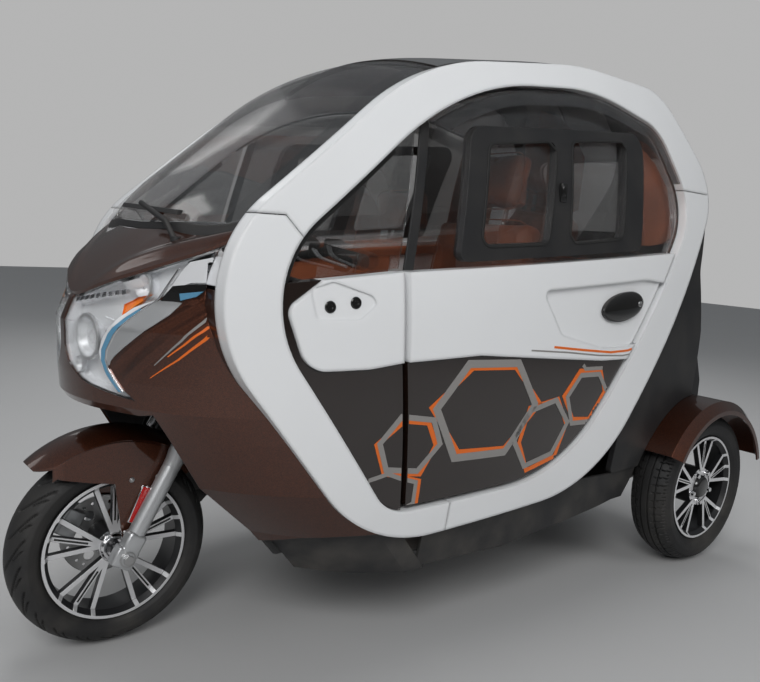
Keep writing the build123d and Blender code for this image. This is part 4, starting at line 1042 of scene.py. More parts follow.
def build_tread_group():
    """Presses curved grooves and short sipes into a tyre's crown, on both sides of its middle."""
    group, start, end = geometry_group(
        "Tread",
        [
            ("Place", "Vector", None), ("Radius", "Float", 0.23), ("Half Width", "Float", 0.05),
            ("Depth", "Float", 0.005), ("Pitches", "Float", 12.0), ("Sweep", "Float", 1.0),
            ("Groove Width", "Float", 0.006), ("Groove Start", "Float", 0.1), ("Sipe Width", "Float", 0.003),
            ("Sipe Start", "Float", 0.55), ("Finish", "Material", None),
        ],
    )
    out, calc = start.outputs, partial(math_node, group)
    place = add_node(group, "GeometryNodeInputPosition").outputs[0]
    links = {0: place, 1: out["Place"]}
    axes = axes_of(group, add_node(group, "ShaderNodeVectorMath", links, operation="SUBTRACT").outputs[0])
    turn = calc("DIVIDE", calc("ARCTAN2", axes["Z"], axes["Y"]), 2 * math.pi)
    reach = calc("SQRT", calc("ADD", calc("POWER", axes["Y"], 2), calc("POWER", axes["Z"], 2)))
    across = calc("DIVIDE", axes["X"], out["Half Width"])
    out_from_middle = calc("ABSOLUTE", across)
    hand = calc("MULTIPLY", calc("SIGN", across), SIDE_STAGGER)
    pitch = calc("DIVIDE", calc("MULTIPLY", out["Radius"], 2 * math.pi), out["Pitches"])

    def cut(shift, power, width, first):
        bend = calc("MULTIPLY", calc("POWER", out_from_middle, power), out["Sweep"])
        phase = calc("ADD", calc("MULTIPLY", turn, out["Pitches"]), bend)
        phase = calc("FRACT", calc("ADD", calc("ADD", phase, hand), shift))
        away = calc("MULTIPLY", calc("ABSOLUTE", calc("SUBTRACT", phase, 0.5)), pitch)
        inside = smooth_step(group, away, width, calc("MULTIPLY", width, 0.45))
        open_end = smooth_step(group, out_from_middle, first, calc("ADD", first, 0.06))
        return calc("MULTIPLY", inside, open_end)

    grooves = cut(20.0, 1.7, out["Groove Width"], out["Groove Start"])
    sipes = cut(20.5, 1.0, out["Sipe Width"], out["Sipe Start"])
    crown = smooth_step(group, reach, *(calc("SUBTRACT", out["Radius"], drop) for drop in CROWN_EDGE))
    pressed = calc("MULTIPLY", calc("MAXIMUM", grooves, sipes), crown)
    press = calc("MULTIPLY", pressed, calc("MULTIPLY", out["Depth"], -1.0))
    normal = add_node(group, "GeometryNodeInputNormal").outputs[0]
    offset = add_node(
        group, "ShaderNodeVectorMath", {0: normal, "Scale": press}, operation="SCALE",
    ).outputs[0]
    pressed = add_node(
        group, "GeometryNodeSetPosition", {"Geometry": out["Geometry"], "Offset": offset},
    ).outputs[0]
    return close_group(group, start, end, pressed)


def fasteners(name, body, material, places, radius, height, sides=6):
    """One piece of like fasteners, from pairs of place and facing."""
    bm = bmesh.new()
    for place, _ in places:
        bm.verts.new(place)
    values = {"Radius": radius, "Height": height, "Sides": sides, "Finish": MATERIALS[material]}
    marks = {"facing": [tuple(facing) for _, facing in places]}
    return noded_piece(name, body, bm, GROUPS["fasteners"], values, marks)


def block(centre, size, turn=None, bevel=0.002, segments=2):
    """A box with rounded edges, turned about its centre. Returns a bmesh."""
    bm = bmesh.new()
    bmesh.ops.create_cube(bm, size=1)
    bmesh.ops.transform(bm, matrix=Matrix.Diagonal((*size, 1)), verts=bm.verts[:])
    if bevel:
        bmesh.ops.bevel(
            bm, geom=bm.edges[:] + bm.verts[:], offset=bevel, segments=segments, affect="EDGES", profile=0.5,
        )
    matrix = Matrix.Translation(centre) @ (turn.to_4x4() if turn else Matrix.Identity(4))
    bmesh.ops.transform(bm, matrix=matrix, verts=bm.verts[:])
    bmesh.ops.recalc_face_normals(bm, faces=bm.faces[:])
    return bm


def joined(pieces):
    """One bmesh of several."""
    first = pieces[0]
    for other in pieces[1:]:
        join_into(first, other)
    return first


def arc_points(a, mid, b, steps):
    """Points along the circle through three points of a plane."""
    (ax, ay), (mx, my), (bx, by) = a, mid, b
    d = 2 * (ax * (my - by) + mx * (by - ay) + bx * (ay - my))
    ux = ((ax**2 + ay**2) * (my - by) + (mx**2 + my**2) * (by - ay) + (bx**2 + by**2) * (ay - my)) / d
    uy = ((ax**2 + ay**2) * (bx - mx) + (mx**2 + my**2) * (ax - bx) + (bx**2 + by**2) * (mx - ax)) / d
    radius = math.hypot(ax - ux, ay - uy)
    start, end = math.atan2(ay - uy, ax - ux), math.atan2(by - uy, bx - ux)
    middle = math.atan2(my - uy, mx - ux)
    span = (end - start) % (2 * math.pi)
    if (middle - start) % (2 * math.pi) > span:
        span -= 2 * math.pi
    return [
        (ux + radius * math.cos(start + span * k / steps), uy + radius * math.sin(start + span * k / steps))
        for k in range(steps + 1)
    ]


def rounded_path(rows, pitch=12):
    """Points along a closed outline of rows of station, height and corner radius, in the rows' order."""
    points = []
    count = len(rows)
    for k in range(count):
        here, back, ahead = (Vector(rows[j % count][:2]) for j in (k, k - 1, k + 1))
        u, v = (back - here).normalized(), (ahead - here).normalized()
        half = u.angle(v) / 2
        radius = rows[k][2]
        reach = radius / math.tan(half)
        mid = here + (u + v).normalized() * (radius / math.sin(half) - radius)
        steps = max(3, int(radius * (math.pi - 2 * half) / pitch))
        arc = arc_points(here + u * reach, mid, here + v * reach, steps)
        if points:
            last, first = Vector(points[-1]), Vector(arc[0])
            fill = int((first - last).length / pitch)
            points += [tuple(last.lerp(first, j / (fill + 1))) for j in range(1, fill + 1)]
        points += arc
    last, first = Vector(points[-1]), Vector(points[0])
    fill = int((first - last).length / pitch)
    points += [tuple(last.lerp(first, j / (fill + 1))) for j in range(1, fill + 1)]
    return points


def half_width(station, height):
    """Half width of the body's side surface at a station and a height, in millimetres."""
    if station < SIDE_MIDDLE:
        plan = DRAWN_AHEAD * ((SIDE_MIDDLE - station) / SIDE_MIDDLE) ** 2
    else:
        plan = DRAWN_BEHIND[0] * ((station - SIDE_MIDDLE) / DRAWN_BEHIND[1]) ** 2
    if height > SIDE_WAIST:
        lean = DRAWN_ABOVE[0] * ((height - SIDE_WAIST) / DRAWN_ABOVE[1]) ** 2
    else:
        lean = DRAWN_BELOW[0] * ((SIDE_WAIST - height) / DRAWN_BELOW[1]) ** 2
    return SIDE_HALF - plan - lean


# Two-tone outlines and lines on the panels.

SIDES = (("left", 1), ("right", -1))
DOOR_SPLIT = ((530, 250), (508, 390), (472, 713))
WARM_WIDTH = 12
OPEN_WIDTH = 10
OUTLINE_THICK = 0.0003
SPLIT_GAP = 9
HEXAGONS = [
    {
        "cool": [(653, 702), (812, 697), (886, 589), (799, 474), (638, 477), (569, 601)],
        "warm": [(666, 692), (803, 687), (905, 588), (796, 484), (647, 491), (555, 605)],
        "width": 19,
    },
    {
        "cool": [(476, 590), (564, 576), (590, 517), (535, 457), (450, 469), (426, 532)],
        "warm": [(485, 580), (551, 570), (579, 515), (544, 449), (446, 462), (419, 530)],
        "width": 13,
    },
    {
        "cool": [(871, 572), (966, 593), (1025, 528), (980, 448), (881, 426), (828, 499)],
        "warm": [(869, 580), (973, 595), (1022, 523), (995, 438), (892, 413), (848, 491)],
        "width": 14,
    },
    {
        "cool": [(1057, 652), (1137, 650), (1181, 599), (1123, 520), (1043, 523), (1010, 597)],
        "warm": [(1051, 664), (1145, 655), (1171, 600), (1116, 527), (1045, 534), (996, 601)],
        "width": 13,
    },
]
OPEN_LINES = [
    {"tone": "cool", "points": [(393, 445), (457, 459), (490, 445), (536, 430), (537, 378), (489, 360)]},
    {"tone": "warm", "points": [(446, 460), (493, 448), (545, 432), (546, 377), (499, 360)]},
    {"tone": "cool", "points": [(1061, 679), (1072, 668), (1148, 666)]},
]
PANELS_BELOW = {"door": ("door_skin_{side}",), "root": ("quarter_skirts",)}


class CAR_OT_outlines(bpy.types.Operator):
    """Lays the two-tone hexagon outlines over the door's lower skin and the front quarter"""

    bl_idname = "car.outlines"
    bl_label = "Hexagon Outlines"

    def execute(self, context):
        lift = sizes().decal_lift
        for side, sign in SIDES:
            for tone, level in (("warm", lift), ("cool", lift * 2.5)):
                polygons = []
                for hexagon in HEXAGONS:
                    polygons += band_polygons(
                        hexagon[tone], hexagon["width"] if tone == "cool" else WARM_WIDTH,
                    )
                for line in OPEN_LINES:
                    if line["tone"] == tone:
                        polygons += band_polygons(line["points"], OPEN_WIDTH, closed=False)
                for body, panels in PANELS_BELOW.items():
                    nodes = tuple(panel.format(side=side) for panel in panels)
                    ride = f"door_{side}" if body == "door" else "root"
                    sheet_on_side(
                        f"outline_{tone}_{body}_{side}", ride, f"stripe_{tone}", nodes, polygons, sign,
                        lift=level, thick=OUTLINE_THICK, pitch=8, clips=self.clips(body),
                    )
        return {"FINISHED"}

    def clips(self, body):
        """Half planes along the split between front quarter and door, a little inside the panel's edge."""
        (s0, z0), (s1, z1) = DOOR_SPLIT[1:]
        length = math.hypot(s1 - s0, z1 - z0)
        across = ((z1 - z0) / length, (s0 - s1) / length)
        way = -1 if body == "door" else 1
        across = (across[0] * way, across[1] * way)
        return [((s0 - across[0] * SPLIT_GAP, z0 - across[1] * SPLIT_GAP), across)]


# Wheels: tyres with their tread, caps, nuts, brake caliper and the fork's fittings.

TYRES = [
    {
        "name": "front_tyre", "node": "front_tyre", "body": "wheel_front", "x": 0.0, "y": FRONT_AXLE_Y,
        "radius": FRONT_TYRE_R, "width": FRONT_TYRE_WIDTH, "ribs": (), "steps": 760, "tread": {
            "Pitches": 22.0, "Sweep": 1.5, "Groove Width": 0.0052, "Groove Start": 0.10, "Sipe Width": 0.0032,
            "Sipe Start": 0.58,
        },
    },
] + [
    {
        "name": f"rear_tyre_{side}", "node": f"rear_tyre_{side}", "body": f"wheel_rear_{side}",
        "x": sign * REAR_WHEEL_X, "y": REAR_AXLE_Y, "radius": REAR_TYRE_R, "width": REAR_TYRE_WIDTH,
        "ribs": (-0.033, -0.012, 0.012, 0.033), "steps": 540,
        "tread": {
            "Pitches": 62.0, "Sweep": 0.5, "Groove Width": 0.0019, "Groove Start": 0.78, "Sipe Width": 0.0016,
            "Sipe Start": 0.28,
        },
    }
    for side, sign in SIDES
]


BEAD_SHARE, SHOULDER_SHARE = 0.36, 0.42
CROWN_FALL, CROWN_STEPS = 0.017, 36
RIB_DEPTH, RIB_FOOT, RIB_MOUTH, RIB_CLEAR = 0.006, 0.0022, 0.0029, 0.0035
MOULDED_LINES, MOULDED_HEIGHT = (6, 7, 13), 0.0009


def casing_profile(radius, width, ribs):
    """Closed outline of a tyre in pairs of place along the axle and radius, with ribs and moulded lines."""
    half, bead, shoulder = width / 2, width * BEAD_SHARE, width * SHOULDER_SHARE
    crown = [(shoulder - 2 * shoulder * k / CROWN_STEPS, 0.0) for k in range(CROWN_STEPS + 1)]
    for rib in ribs:
        crown = [c for c in crown if abs(c[0] - rib) > RIB_CLEAR]
        crown += [(rib + side * RIB_MOUTH, 0.0) for side in (1, -1)]
        crown += [(rib + side * RIB_FOOT, RIB_DEPTH) for side in (1, -1)]
    crown.sort(key=lambda c: -c[0])
    outline = [(x, radius - CROWN_FALL * (x / shoulder) ** 2 - down) for x, down in crown]
    wall = arc_points((shoulder, radius - CROWN_FALL), (half, radius - 0.040), (bead, RIM_R + 0.001), 18)
    ridged = [(x + (MOULDED_HEIGHT if k in MOULDED_LINES else 0.0), r) for k, (x, r) in enumerate(wall)]
    left = [(-x, r) for x, r in ridged[1:]]
    inner = [(-bead, RIM_R - 0.0095), (bead, RIM_R - 0.0095)]
    return ridged[:0:-1] + outline + left + inner


class CAR_OT_tyres(bpy.types.Operator):
    """Makes the three tyres with grooved crowns and moulded walls"""

    bl_idname = "car.tyres"
    bl_label = "Tyres"

    def execute(self, context):
        GROUPS["tread"] = build_tread_group()
        for row in TYRES:
            steps = row["steps"]
            bm = lathe(casing_profile(row["radius"], row["width"], row["ribs"]), steps)
            place = (row["x"], row["y"], row["radius"])
            bmesh.ops.translate(bm, vec=place, verts=bm.verts[:])
            values = {
                "Place": place, "Radius": row["radius"], "Half Width": row["width"] * 0.5,
                "Depth": sizes().groove_depth, "Finish": MATERIALS["tyre_rubber"], **row["tread"],
            }
            piece = noded_piece(row["name"], row["body"], bm, GROUPS["tread"], values)
            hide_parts(row["node"])
        return {"FINISHED"}


def up_axis(along, x, back=AXIS_SETBACK):
    """A place beside the steering axis, in metres up from the front axle."""
    return Vector((
        x,
        FRONT_AXLE_Y + along * math.sin(RAKE) + back * math.cos(RAKE),
        FRONT_TYRE_R + along * math.cos(RAKE) - back * math.sin(RAKE),
    ))


def ring_places(centre, radius, count, first, facing):
    """Places and facings of a ring of like fasteners round a wheel's axle."""
    places = []
    for k in range(count):
        turn = math.radians(first + 360 / count * k)
        places.append((centre + Vector((0, math.cos(turn), math.sin(turn))) * radius, (facing, 0, 0)))
    return places


# Wheel fittings: turned profiles in pairs of place along the axle and radius, then places out from the hub.
HUB_CAP = [(0.0, 0.0), (0.014, 0.0), (0.014, 0.026), (0.012, 0.031), (0.003, 0.0375), (0.0, 0.0375)]
HUB_RING = [
    (0.0, 0.0), (0.003, 0.0), (0.003, 0.021), (0.0075, 0.023), (0.0075, 0.029), (0.002, 0.0335),
    (0.0, 0.0335),
]
HUB_BARREL = [(0.0, 0.0341), (0.0180, 0.0341), (0.0180, 0.0352), (0.0, 0.0365)]
VALVE = [(0, 0), (0.024, 0), (0.024, 0.003), (0.006, 0.0045), (0, 0.0045)]
REAR_FACE, REAR_SPOKE_FACE, FRONT_SPOKE_FACE = 0.0422, 0.0452, 0.0322
NUT_CIRCLE, BOLT_CIRCLE, DISC_FACE = 0.0495, 0.030, -0.0662
SPOKE_GROUPS, SPOKE_SPLAY = 5, (-17, 0, 17)
SLOT_CIRCLE, SLOT_SIZE = 0.103, (0.0012, 0.078, 0.0042)
LIP_CIRCLE, LIP_SIZE = 0.154, (0.0022, 0.0165, 0.0105)
LIP_SLOPE = math.atan2(0.013, 0.010)


class CAR_OT_wheel_fittings(bpy.types.Operator):
    """Adds the hub caps, wheel nuts, spoke inlays and valve stems to the three wheels"""

    bl_idname = "car.wheel_fittings"
    bl_label = "Wheel Fittings"

    def execute(self, context):
        GROUPS["fasteners"] = build_fastener_group()
        for side, sign in SIDES:
            body = f"wheel_rear_{side}"
            hub = Vector((sign * REAR_WHEEL_X, REAR_AXLE_Y, REAR_TYRE_R))
            face = hub + Vector((sign * REAR_FACE, 0, 0))
            turned(f"rear_hub_cap_{side}", body, "black_gloss", HUB_CAP, face, (sign, 0, 0))
            nuts = ring_places(face, NUT_CIRCLE, 5, 54, sign)
            fasteners(f"wheel_nuts_{side}", body, "chrome", nuts, 0.0078, 0.013)
            self.inlays(f"rear_{side}", body, hub, sign, REAR_SPOKE_FACE)
            self.spoke_ends(f"rear_{side}", body, hub, sign, REAR_TYRE_WIDTH * BEAD_SHARE)
            place = hub + Vector((sign * 0.030, 0.060, 0.1325))
            turned(f"valve_{side}", body, "seal_rubber", VALVE, place, (sign, 0, 0), steps=16)
        hub = Vector((0, FRONT_AXLE_Y, FRONT_TYRE_R))
        turned("front_hub_ring", "wheel_front", "chrome", HUB_RING, hub + Vector((0.0345, 0, 0)))
        turned("front_hub_barrel", "wheel_front", "chrome", HUB_BARREL, hub + Vector((0.0182, 0, 0)))
        self.inlays("front", "wheel_front", hub, 1, FRONT_SPOKE_FACE)
        self.spoke_ends("front", "wheel_front", hub, 1, FRONT_TYRE_WIDTH * BEAD_SHARE)
        bolts = ring_places(hub + Vector((DISC_FACE, 0, 0)), BOLT_CIRCLE, 6, 30, -1)
        fasteners("disc_bolts", "wheel_front", "chrome", bolts, 0.005, 0.004)
        return {"FINISHED"}

    def inlays(self, name, body, hub, sign, face):
        """A dark slot down the middle spoke of each of the five groups."""
        slots = []
        for k in range(SPOKE_GROUPS):
            turn = math.radians(90 + 360 / SPOKE_GROUPS * k)
            centre = hub + Vector(
                (0, math.cos(turn), math.sin(turn))
            ) * SLOT_CIRCLE + Vector((sign * face, 0, 0))
            slots.append(block(centre, SLOT_SIZE, Matrix.Rotation(turn, 3, "X"), bevel=0))
        new_piece(f"{name}_spoke_slots", body, "black_gloss", joined(slots), smooth=False)

    def spoke_ends(self, name, body, hub, sign, bead):
        """Polished ends that carry each spoke up the dished lip to the rim's edge."""
        ends = []
        for group in range(SPOKE_GROUPS):
            for splay in SPOKE_SPLAY:
                turn = math.radians(90 + 360 / SPOKE_GROUPS * group + splay)
                out = Vector((0, math.cos(turn), math.sin(turn))) * LIP_CIRCLE
                lean = Matrix.Rotation(turn, 3, "X") @ Matrix.Rotation(-sign * LIP_SLOPE, 3, "Z")
                centre = hub + out + Vector((sign * (bead + 0.0005), 0, 0))
                ends.append(block(centre, LIP_SIZE, lean, bevel=0.0005, segments=1))
        new_piece(f"{name}_spoke_ends", body, "polished", joined(ends))


FORK_TURN = Matrix.Rotation(-RAKE, 3, "X")
FORK_UP = (0, math.sin(RAKE), math.cos(RAKE))
LEG_X, FOOT_X, AXLE_END_X = 0.094, 0.098, 0.1152
LEG_CUP = [
    (0, 0.0202), (0.012, 0.0205), (0.034, 0.0245), (0.046, 0.0245), (0.048, 0.0225), (0.048, 0.0156),
    (0, 0.0156),
]
LEG_SEAL = [(0, 0.0152), (0.007, 0.0152), (0.007, 0.0195), (0.002, 0.0222), (0, 0.0222)]
REFLECTOR_MIDDLE, REFLECTOR_X = (0.04225, 0.3385), 0.0765
REFLECTOR_TURN = Matrix.Rotation(-math.atan2(0.032, 0.076), 3, "X")
CALIPER_TURN = Matrix.Rotation(math.radians(150), 3, "X")
FENDER_SCREWS, FENDER_SCREW_X = ((0.083, 0.399), (0.009, 0.278), (0.022, 0.400)), 0.0742


class CAR_OT_fork_fittings(bpy.types.Operator):
    """Adds the fork's feet, leg cups and seals, axle ends, brake caliper with hose, screws and reflectors"""

    bl_idname = "car.fork_fittings"
    bl_label = "Fork Fittings"

    def execute(self, context):
        axle = Vector((0, FRONT_AXLE_Y, FRONT_TYRE_R))
        feet, ends = [], []
        for side, sign in SIDES:
            low = axle + Vector((sign * FOOT_X, -0.004, 0.0))
            feet.append(block(low, (0.034, 0.052, 0.046), FORK_TURN, bevel=0.006, segments=3))
            high = up_axis(0.034, sign * FOOT_X, 0)
            feet.append(block(high, (0.036, 0.044, 0.05), FORK_TURN, bevel=0.008, segments=3))
            ends.append((axle + Vector((sign * AXLE_END_X, 0, 0)), (sign, 0, 0)))
            cup, seal = up_axis(0.222, sign * LEG_X, 0), up_axis(0.2702, sign * LEG_X, 0)
            turned(f"leg_cup_{side}", "steering", "silver_lacquer", LEG_CUP, cup, FORK_UP)
            turned(f"leg_seal_{side}", "steering", "seal_rubber", LEG_SEAL, seal, FORK_UP)
            self.reflector(side, sign)
        new_piece("fork_feet", "steering", "silver_lacquer", joined(feet))
        fasteners("axle_ends", "steering", "steel", ends, 0.0125, 0.011)
        self.caliper(axle)
        screws = [
            (Vector((sign * FENDER_SCREW_X, FRONT_AXLE_Y + along, z)), (sign, 0, 0))
            for _, sign in SIDES
            for along, z in FENDER_SCREWS
        ]
        fasteners("fender_screws", "steering", "steel", screws, 0.0042, 0.003)
        return {"FINISHED"}

    def reflector(self, side, sign):
        """A red lens in a chrome rim on the fender's side."""
        along, z = REFLECTOR_MIDDLE
        centre = Vector((sign * REFLECTOR_X, FRONT_AXLE_Y + along, z))
        rim = block(centre, (0.005, 0.029, 0.090), REFLECTOR_TURN, bevel=0.002)
        new_piece(f"side_reflector_rim_{side}", "steering", "chrome", rim)
        out = centre + Vector((sign * 0.0022, 0, 0))
        lens = block(out, (0.005, 0.024, 0.085), REFLECTOR_TURN, bevel=0.0018)
        new_piece(f"side_reflector_{side}", "steering", "reflector_red", lens)

    def caliper(self, axle):
        """The brake caliper astride the disc, with its pins and its hose up the fork leg."""

        def at(x, along, across=0.0):
            return axle + Vector((x, 0, 0)) + CALIPER_TURN @ Vector((0, along, across))

        blocks = (
            ((-0.0815, 0.084), (0.019, 0.060, 0.074), 0.006, 3),
            ((-0.0500, 0.088), (0.011, 0.050, 0.066), 0.004, 3),
            ((-0.0665, 0.1135), (0.046, 0.019, 0.060), 0.004, 3),
            ((-0.0930, 0.052, -0.030), (0.014, 0.085, 0.026), 0.004, 2),
        )
        parts = [
            block(at(*place), size, CALIPER_TURN, bevel, segments) for place, size, bevel, segments in blocks
        ]
        new_piece("brake_caliper", "steering", "silver_lacquer", joined(parts))
        pins = [(at(-0.0912, 0.082, across), (-1, 0, 0)) for across in (-0.026, 0.026)]
        fasteners("caliper_pins", "steering", "steel", pins, 0.006, 0.006)
        low = [at(-0.091, 0.11, 0.02), at(-0.094, 0.15, 0.0)]
        high = [up_axis(0.20, -0.094, -0.03), up_axis(0.33, -0.090, -0.028), up_axis(0.40, -0.070, -0.020)]
        curve = smooth_run(low + high, 8)
        hose = sweep(curve, round_profile(0.0035, 8), ups=[Vector((1, 0, 0))] * len(curve))
        new_piece("brake_hose", "steering", "seal_rubber", hose)


def catmull(a, b, c, d, t):
    """A smooth run's value between b and c."""
    return 0.5 * (2 * b + (c - a) * t + (2 * a - 5 * b + 4 * c - d) * t**2 + (3 * b - a - 3 * c + d) * t**3)


def smooth_run(points, steps):
    """A Catmull-Rom run through points."""
    last = len(points) - 1
    made = []
    for k in range(last):
        chosen = [points[min(max(k + j, 0), last)] for j in (-1, 0, 1, 2)]
        made += [catmull(*chosen, j / steps) for j in range(steps)]
    return [*made, points[-1]]


# Nose: hood, lamp innards, bands and lines. Outlines are pairs of distance from the middle and height, in mm.

HOOD_ROWS = [
    {"x": 0, "front": (-89, 822), "back": (40, 965)},
    {"x": 137, "front": (-60, 858), "back": (60, 968)},
    {"x": 234, "front": (-9, 893), "back": (90, 971)},
    {"x": 319, "front": (59, 932), "back": (115, 973)},
    {"x": 392, "front": (131, 975), "back": (162, 996)},
]
HOOD_EDGE_DROP, HOOD_CROWN = 7, 7
HOOD_STEPS = (112, 22)
RIDGE_HEIGHT, RIDGE_WIDTH, RIDGE_START, RIDGE_SPREAD = 7.0, 26, 60, 1.45
LENS_LOW = [
    (14, 708), (31, 677), (80, 647), (112, 637), (190, 624), (214, 622), (178, 651), (151, 681), (142, 709),
    (150, 736), (182, 786), (207, 810), (251, 833), (282, 862), (336, 870), (392, 890),
]
LENS_HIGH = [
    (14, 812), (30, 816), (60, 823), (85, 830), (110, 838), (120, 842), (128, 845), (136, 848), (141, 850),
    (148, 853), (170, 861), (200, 872), (240, 886), (282, 905), (336, 930), (380, 955),
]
EDGE_LINE = [
    (286, 893), (269, 861), (253, 832), (227, 805), (208, 784), (181, 748), (164, 716), (161, 695),
    (167, 676), (198, 633),
]
BAND_INNER = [(254, 828), (240, 817), (227, 805), (208, 784), (181, 748), (165, 720), (161, 700), (164, 684)]
BAND_OUTER = [(293, 826), (278, 800), (256, 776), (238, 758), (203, 726), (182, 706), (172, 694), (169, 685)]
GUIDE_INNER = [(220, 807), (198, 787), (167, 750), (150, 716), (149, 692), (160, 667), (188, 632)]
GUIDE_OUTER = [(227, 804), (207, 783), (180, 747), (161, 714), (160, 690), (173, 663), (198, 632)]
FILL_INNER = [(252, 831), (208, 808), (184, 785), (151, 735), (143, 709), (152, 681), (180, 650)]
WING = [
    (262, 843), (276, 862), (288, 885), (303, 908), (326, 916), (346, 924), (392, 924), (392, 872),
    (341, 870), (307, 867),
]
WING_BLACK = [(255, 826), (276, 858), (307, 864), (341, 868), (327, 853), (293, 828)]
WING_BLUE = [(288, 844), (326, 852), (315, 840), (290, 830)]
LENS_TRAY_DEPTH = 0.030
LENS_CLEAR = 0.008
MOUTH_DEPTH = 0.012
AMBER = [(187, 790), (183, 812), (209, 829), (236, 837), (215, 819), (205, 808)]
CORNER_BLACK = [(299, 908), (337, 929), (366, 944), (352, 912), (302, 893)]
COWL_LINES = [
    {
        "tone": "cool", "wide": 6, "slim": 1.5,
        "points": [(348, 815), (329, 786), (307, 752), (285, 725), (262, 697)],
    },
    {"tone": "warm", "wide": 6, "slim": 2, "points": [(353, 799), (336, 774), (311, 744), (285, 717)]},
    {"tone": "warm", "wide": 7, "slim": 1.5, "points": [(358, 787), (341, 758), (302, 713), (254, 670)]},
]
LAMP_BOWLS = [
    {"name": "main", "x": 96, "z": 734, "radius": 0.046, "depth": 0.030, "bulb": 0.016},
    {"name": "upper", "x": 212, "z": 851, "radius": 0.027, "depth": 0.018, "bulb": 0.010},
    {"name": "low", "x": 66, "z": 672, "radius": 0.017, "depth": 0.012, "bulb": 0.006},
]


def hood_edge(x, edge):
    """Place of the hood's front or back edge at a distance from the middle, smooth through the rows."""
    rows = [{**HOOD_ROWS[1], "x": -HOOD_ROWS[1]["x"]}, *HOOD_ROWS]
    x = min(abs(x), rows[-1]["x"])
    k = next(i for i in range(1, len(rows) - 1) if x <= rows[i + 1]["x"])
    t = (x - rows[k]["x"]) / (rows[k + 1]["x"] - rows[k]["x"])
    chosen = [rows[min(k + j, len(rows) - 1)][edge] for j in (-1, 0, 1, 2)]
    return tuple(catmull(*(row[axis] for row in chosen), t) for axis in (0, 1))


def strip_polygons(first, second):
    """Quads between two lines of as many points."""
    return [[first[k], first[k + 1], second[k + 1], second[k]] for k in range(len(first) - 1)]


NOSE_HEIGHTS = (600, 1010)


def sheet_ahead(name, material, nodes, polygons, lift=0.0004, thick=0.0006, pitch=10, rim=None):
    """A thin sheet of outlines drawn from ahead, laid on both sides of the nose, its rim along the normal."""
    bm = bmesh.new()
    for polygon in polygons:
        for sign in (1, -1):
            bm.faces.new([bm.verts.new((sign * x, 0, z)) for x, z in polygon])
    reach = max(p[0] for polygon in polygons for p in polygon)
    for k in range(-int(reach / pitch) - 1, int(reach / pitch) + 2):
        cut_along(bm, (k * pitch, 0, 0), (1, 0, 0))
    for k in range(int(NOSE_HEIGHTS[0] / pitch), int(NOSE_HEIGHTS[1] / pitch)):
        cut_along(bm, (0, 0, k * pitch), (0, 0, 1))
    bmesh.ops.remove_doubles(bm, verts=bm.verts[:], dist=0.01)
    missed, normals = [], {}
    for vert in bm.verts:
        hit = front_point(nodes, vert.co.x, vert.co.z)
        if hit is None:
            missed.append(vert)
            continue
        place, normal = hit
        vert.co = place + normal * (lift + thick)
        normals[vert] = normal
    bmesh.ops.delete(bm, geom=missed, context="VERTS")
    bmesh.ops.recalc_face_normals(bm, faces=bm.faces[:])
    for part in parts_of(bm):
        if sum(face.normal.y * face.calc_area() for face in part) > 0:
            bmesh.ops.reverse_faces(bm, faces=part)
    rims = [edge for edge in bm.edges if len(edge.link_faces) == 1]
    drop = -(thick + lift + RIM_BITE) if rim is None else rim
    directions = {vert: normals[vert] for edge in rims for vert in edge.verts}
    walls = bmesh.ops.extrude_edge_only(bm, edges=rims)["geom"]
    for vert in (g for g in walls if isinstance(g, bmesh.types.BMVert)):
        source = next(e.other_vert(vert) for e in vert.link_edges if e.other_vert(vert) in directions)
        vert.co += directions[source] * drop
    return new_piece(name, "root", material, bm)


def parts_of(bm):
    """Groups of joined faces."""
    left, groups = set(bm.faces), []
    while left:
        stack, group = [left.pop()], []
        while stack:
            face = stack.pop()
            group.append(face)
            for edge in face.edges:
                for other in edge.link_faces:
                    if other in left:
                        left.remove(other)
                        stack.append(other)
        groups.append(group)
    return groups


class CAR_OT_hood(bpy.types.Operator):
    """Makes the hood as one smooth shell with two soft ridges that run to the windscreen's corners"""

    bl_idname = "car.hood"
    bl_label = "Hood"

    def execute(self, context):
        (wide, deep), reach = HOOD_STEPS, HOOD_ROWS[-1]["x"]
        tip = HOOD_ROWS[0]["front"][0]
        top, under = [], []
        for i in range(wide + 1):
            x = reach * (2 * i / wide - 1)
            (s0, z0), (s1, z1) = hood_edge(x, "front"), hood_edge(x, "back")
            top.append([])
            under.append([])
            for t in (j / deep for j in range(deep + 1)):
                s, z = s0 + (s1 - s0) * t, z0 + (z1 - z0) * t
                crown = 4 * t * (1 - t) * HOOD_CROWN * (1 - (x / reach) ** 2)
                away = (abs(x) - RIDGE_START - (s - tip) * RIDGE_SPREAD) / RIDGE_WIDTH
                z += crown + RIDGE_HEIGHT * math.exp(-away * away) * min(1, 4 * t)
                top[-1].append((x / 1000, row_y(s), z / 1000))
                under[-1].append((x / 1000, row_y(s + 2), (z - HOOD_EDGE_DROP) / 1000))
        bm = shell(bmesh.new(), top, under)
        piece = new_piece("hood_shell", "root", "body_copper", bm)
        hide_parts("hood")
        return {"FINISHED"}


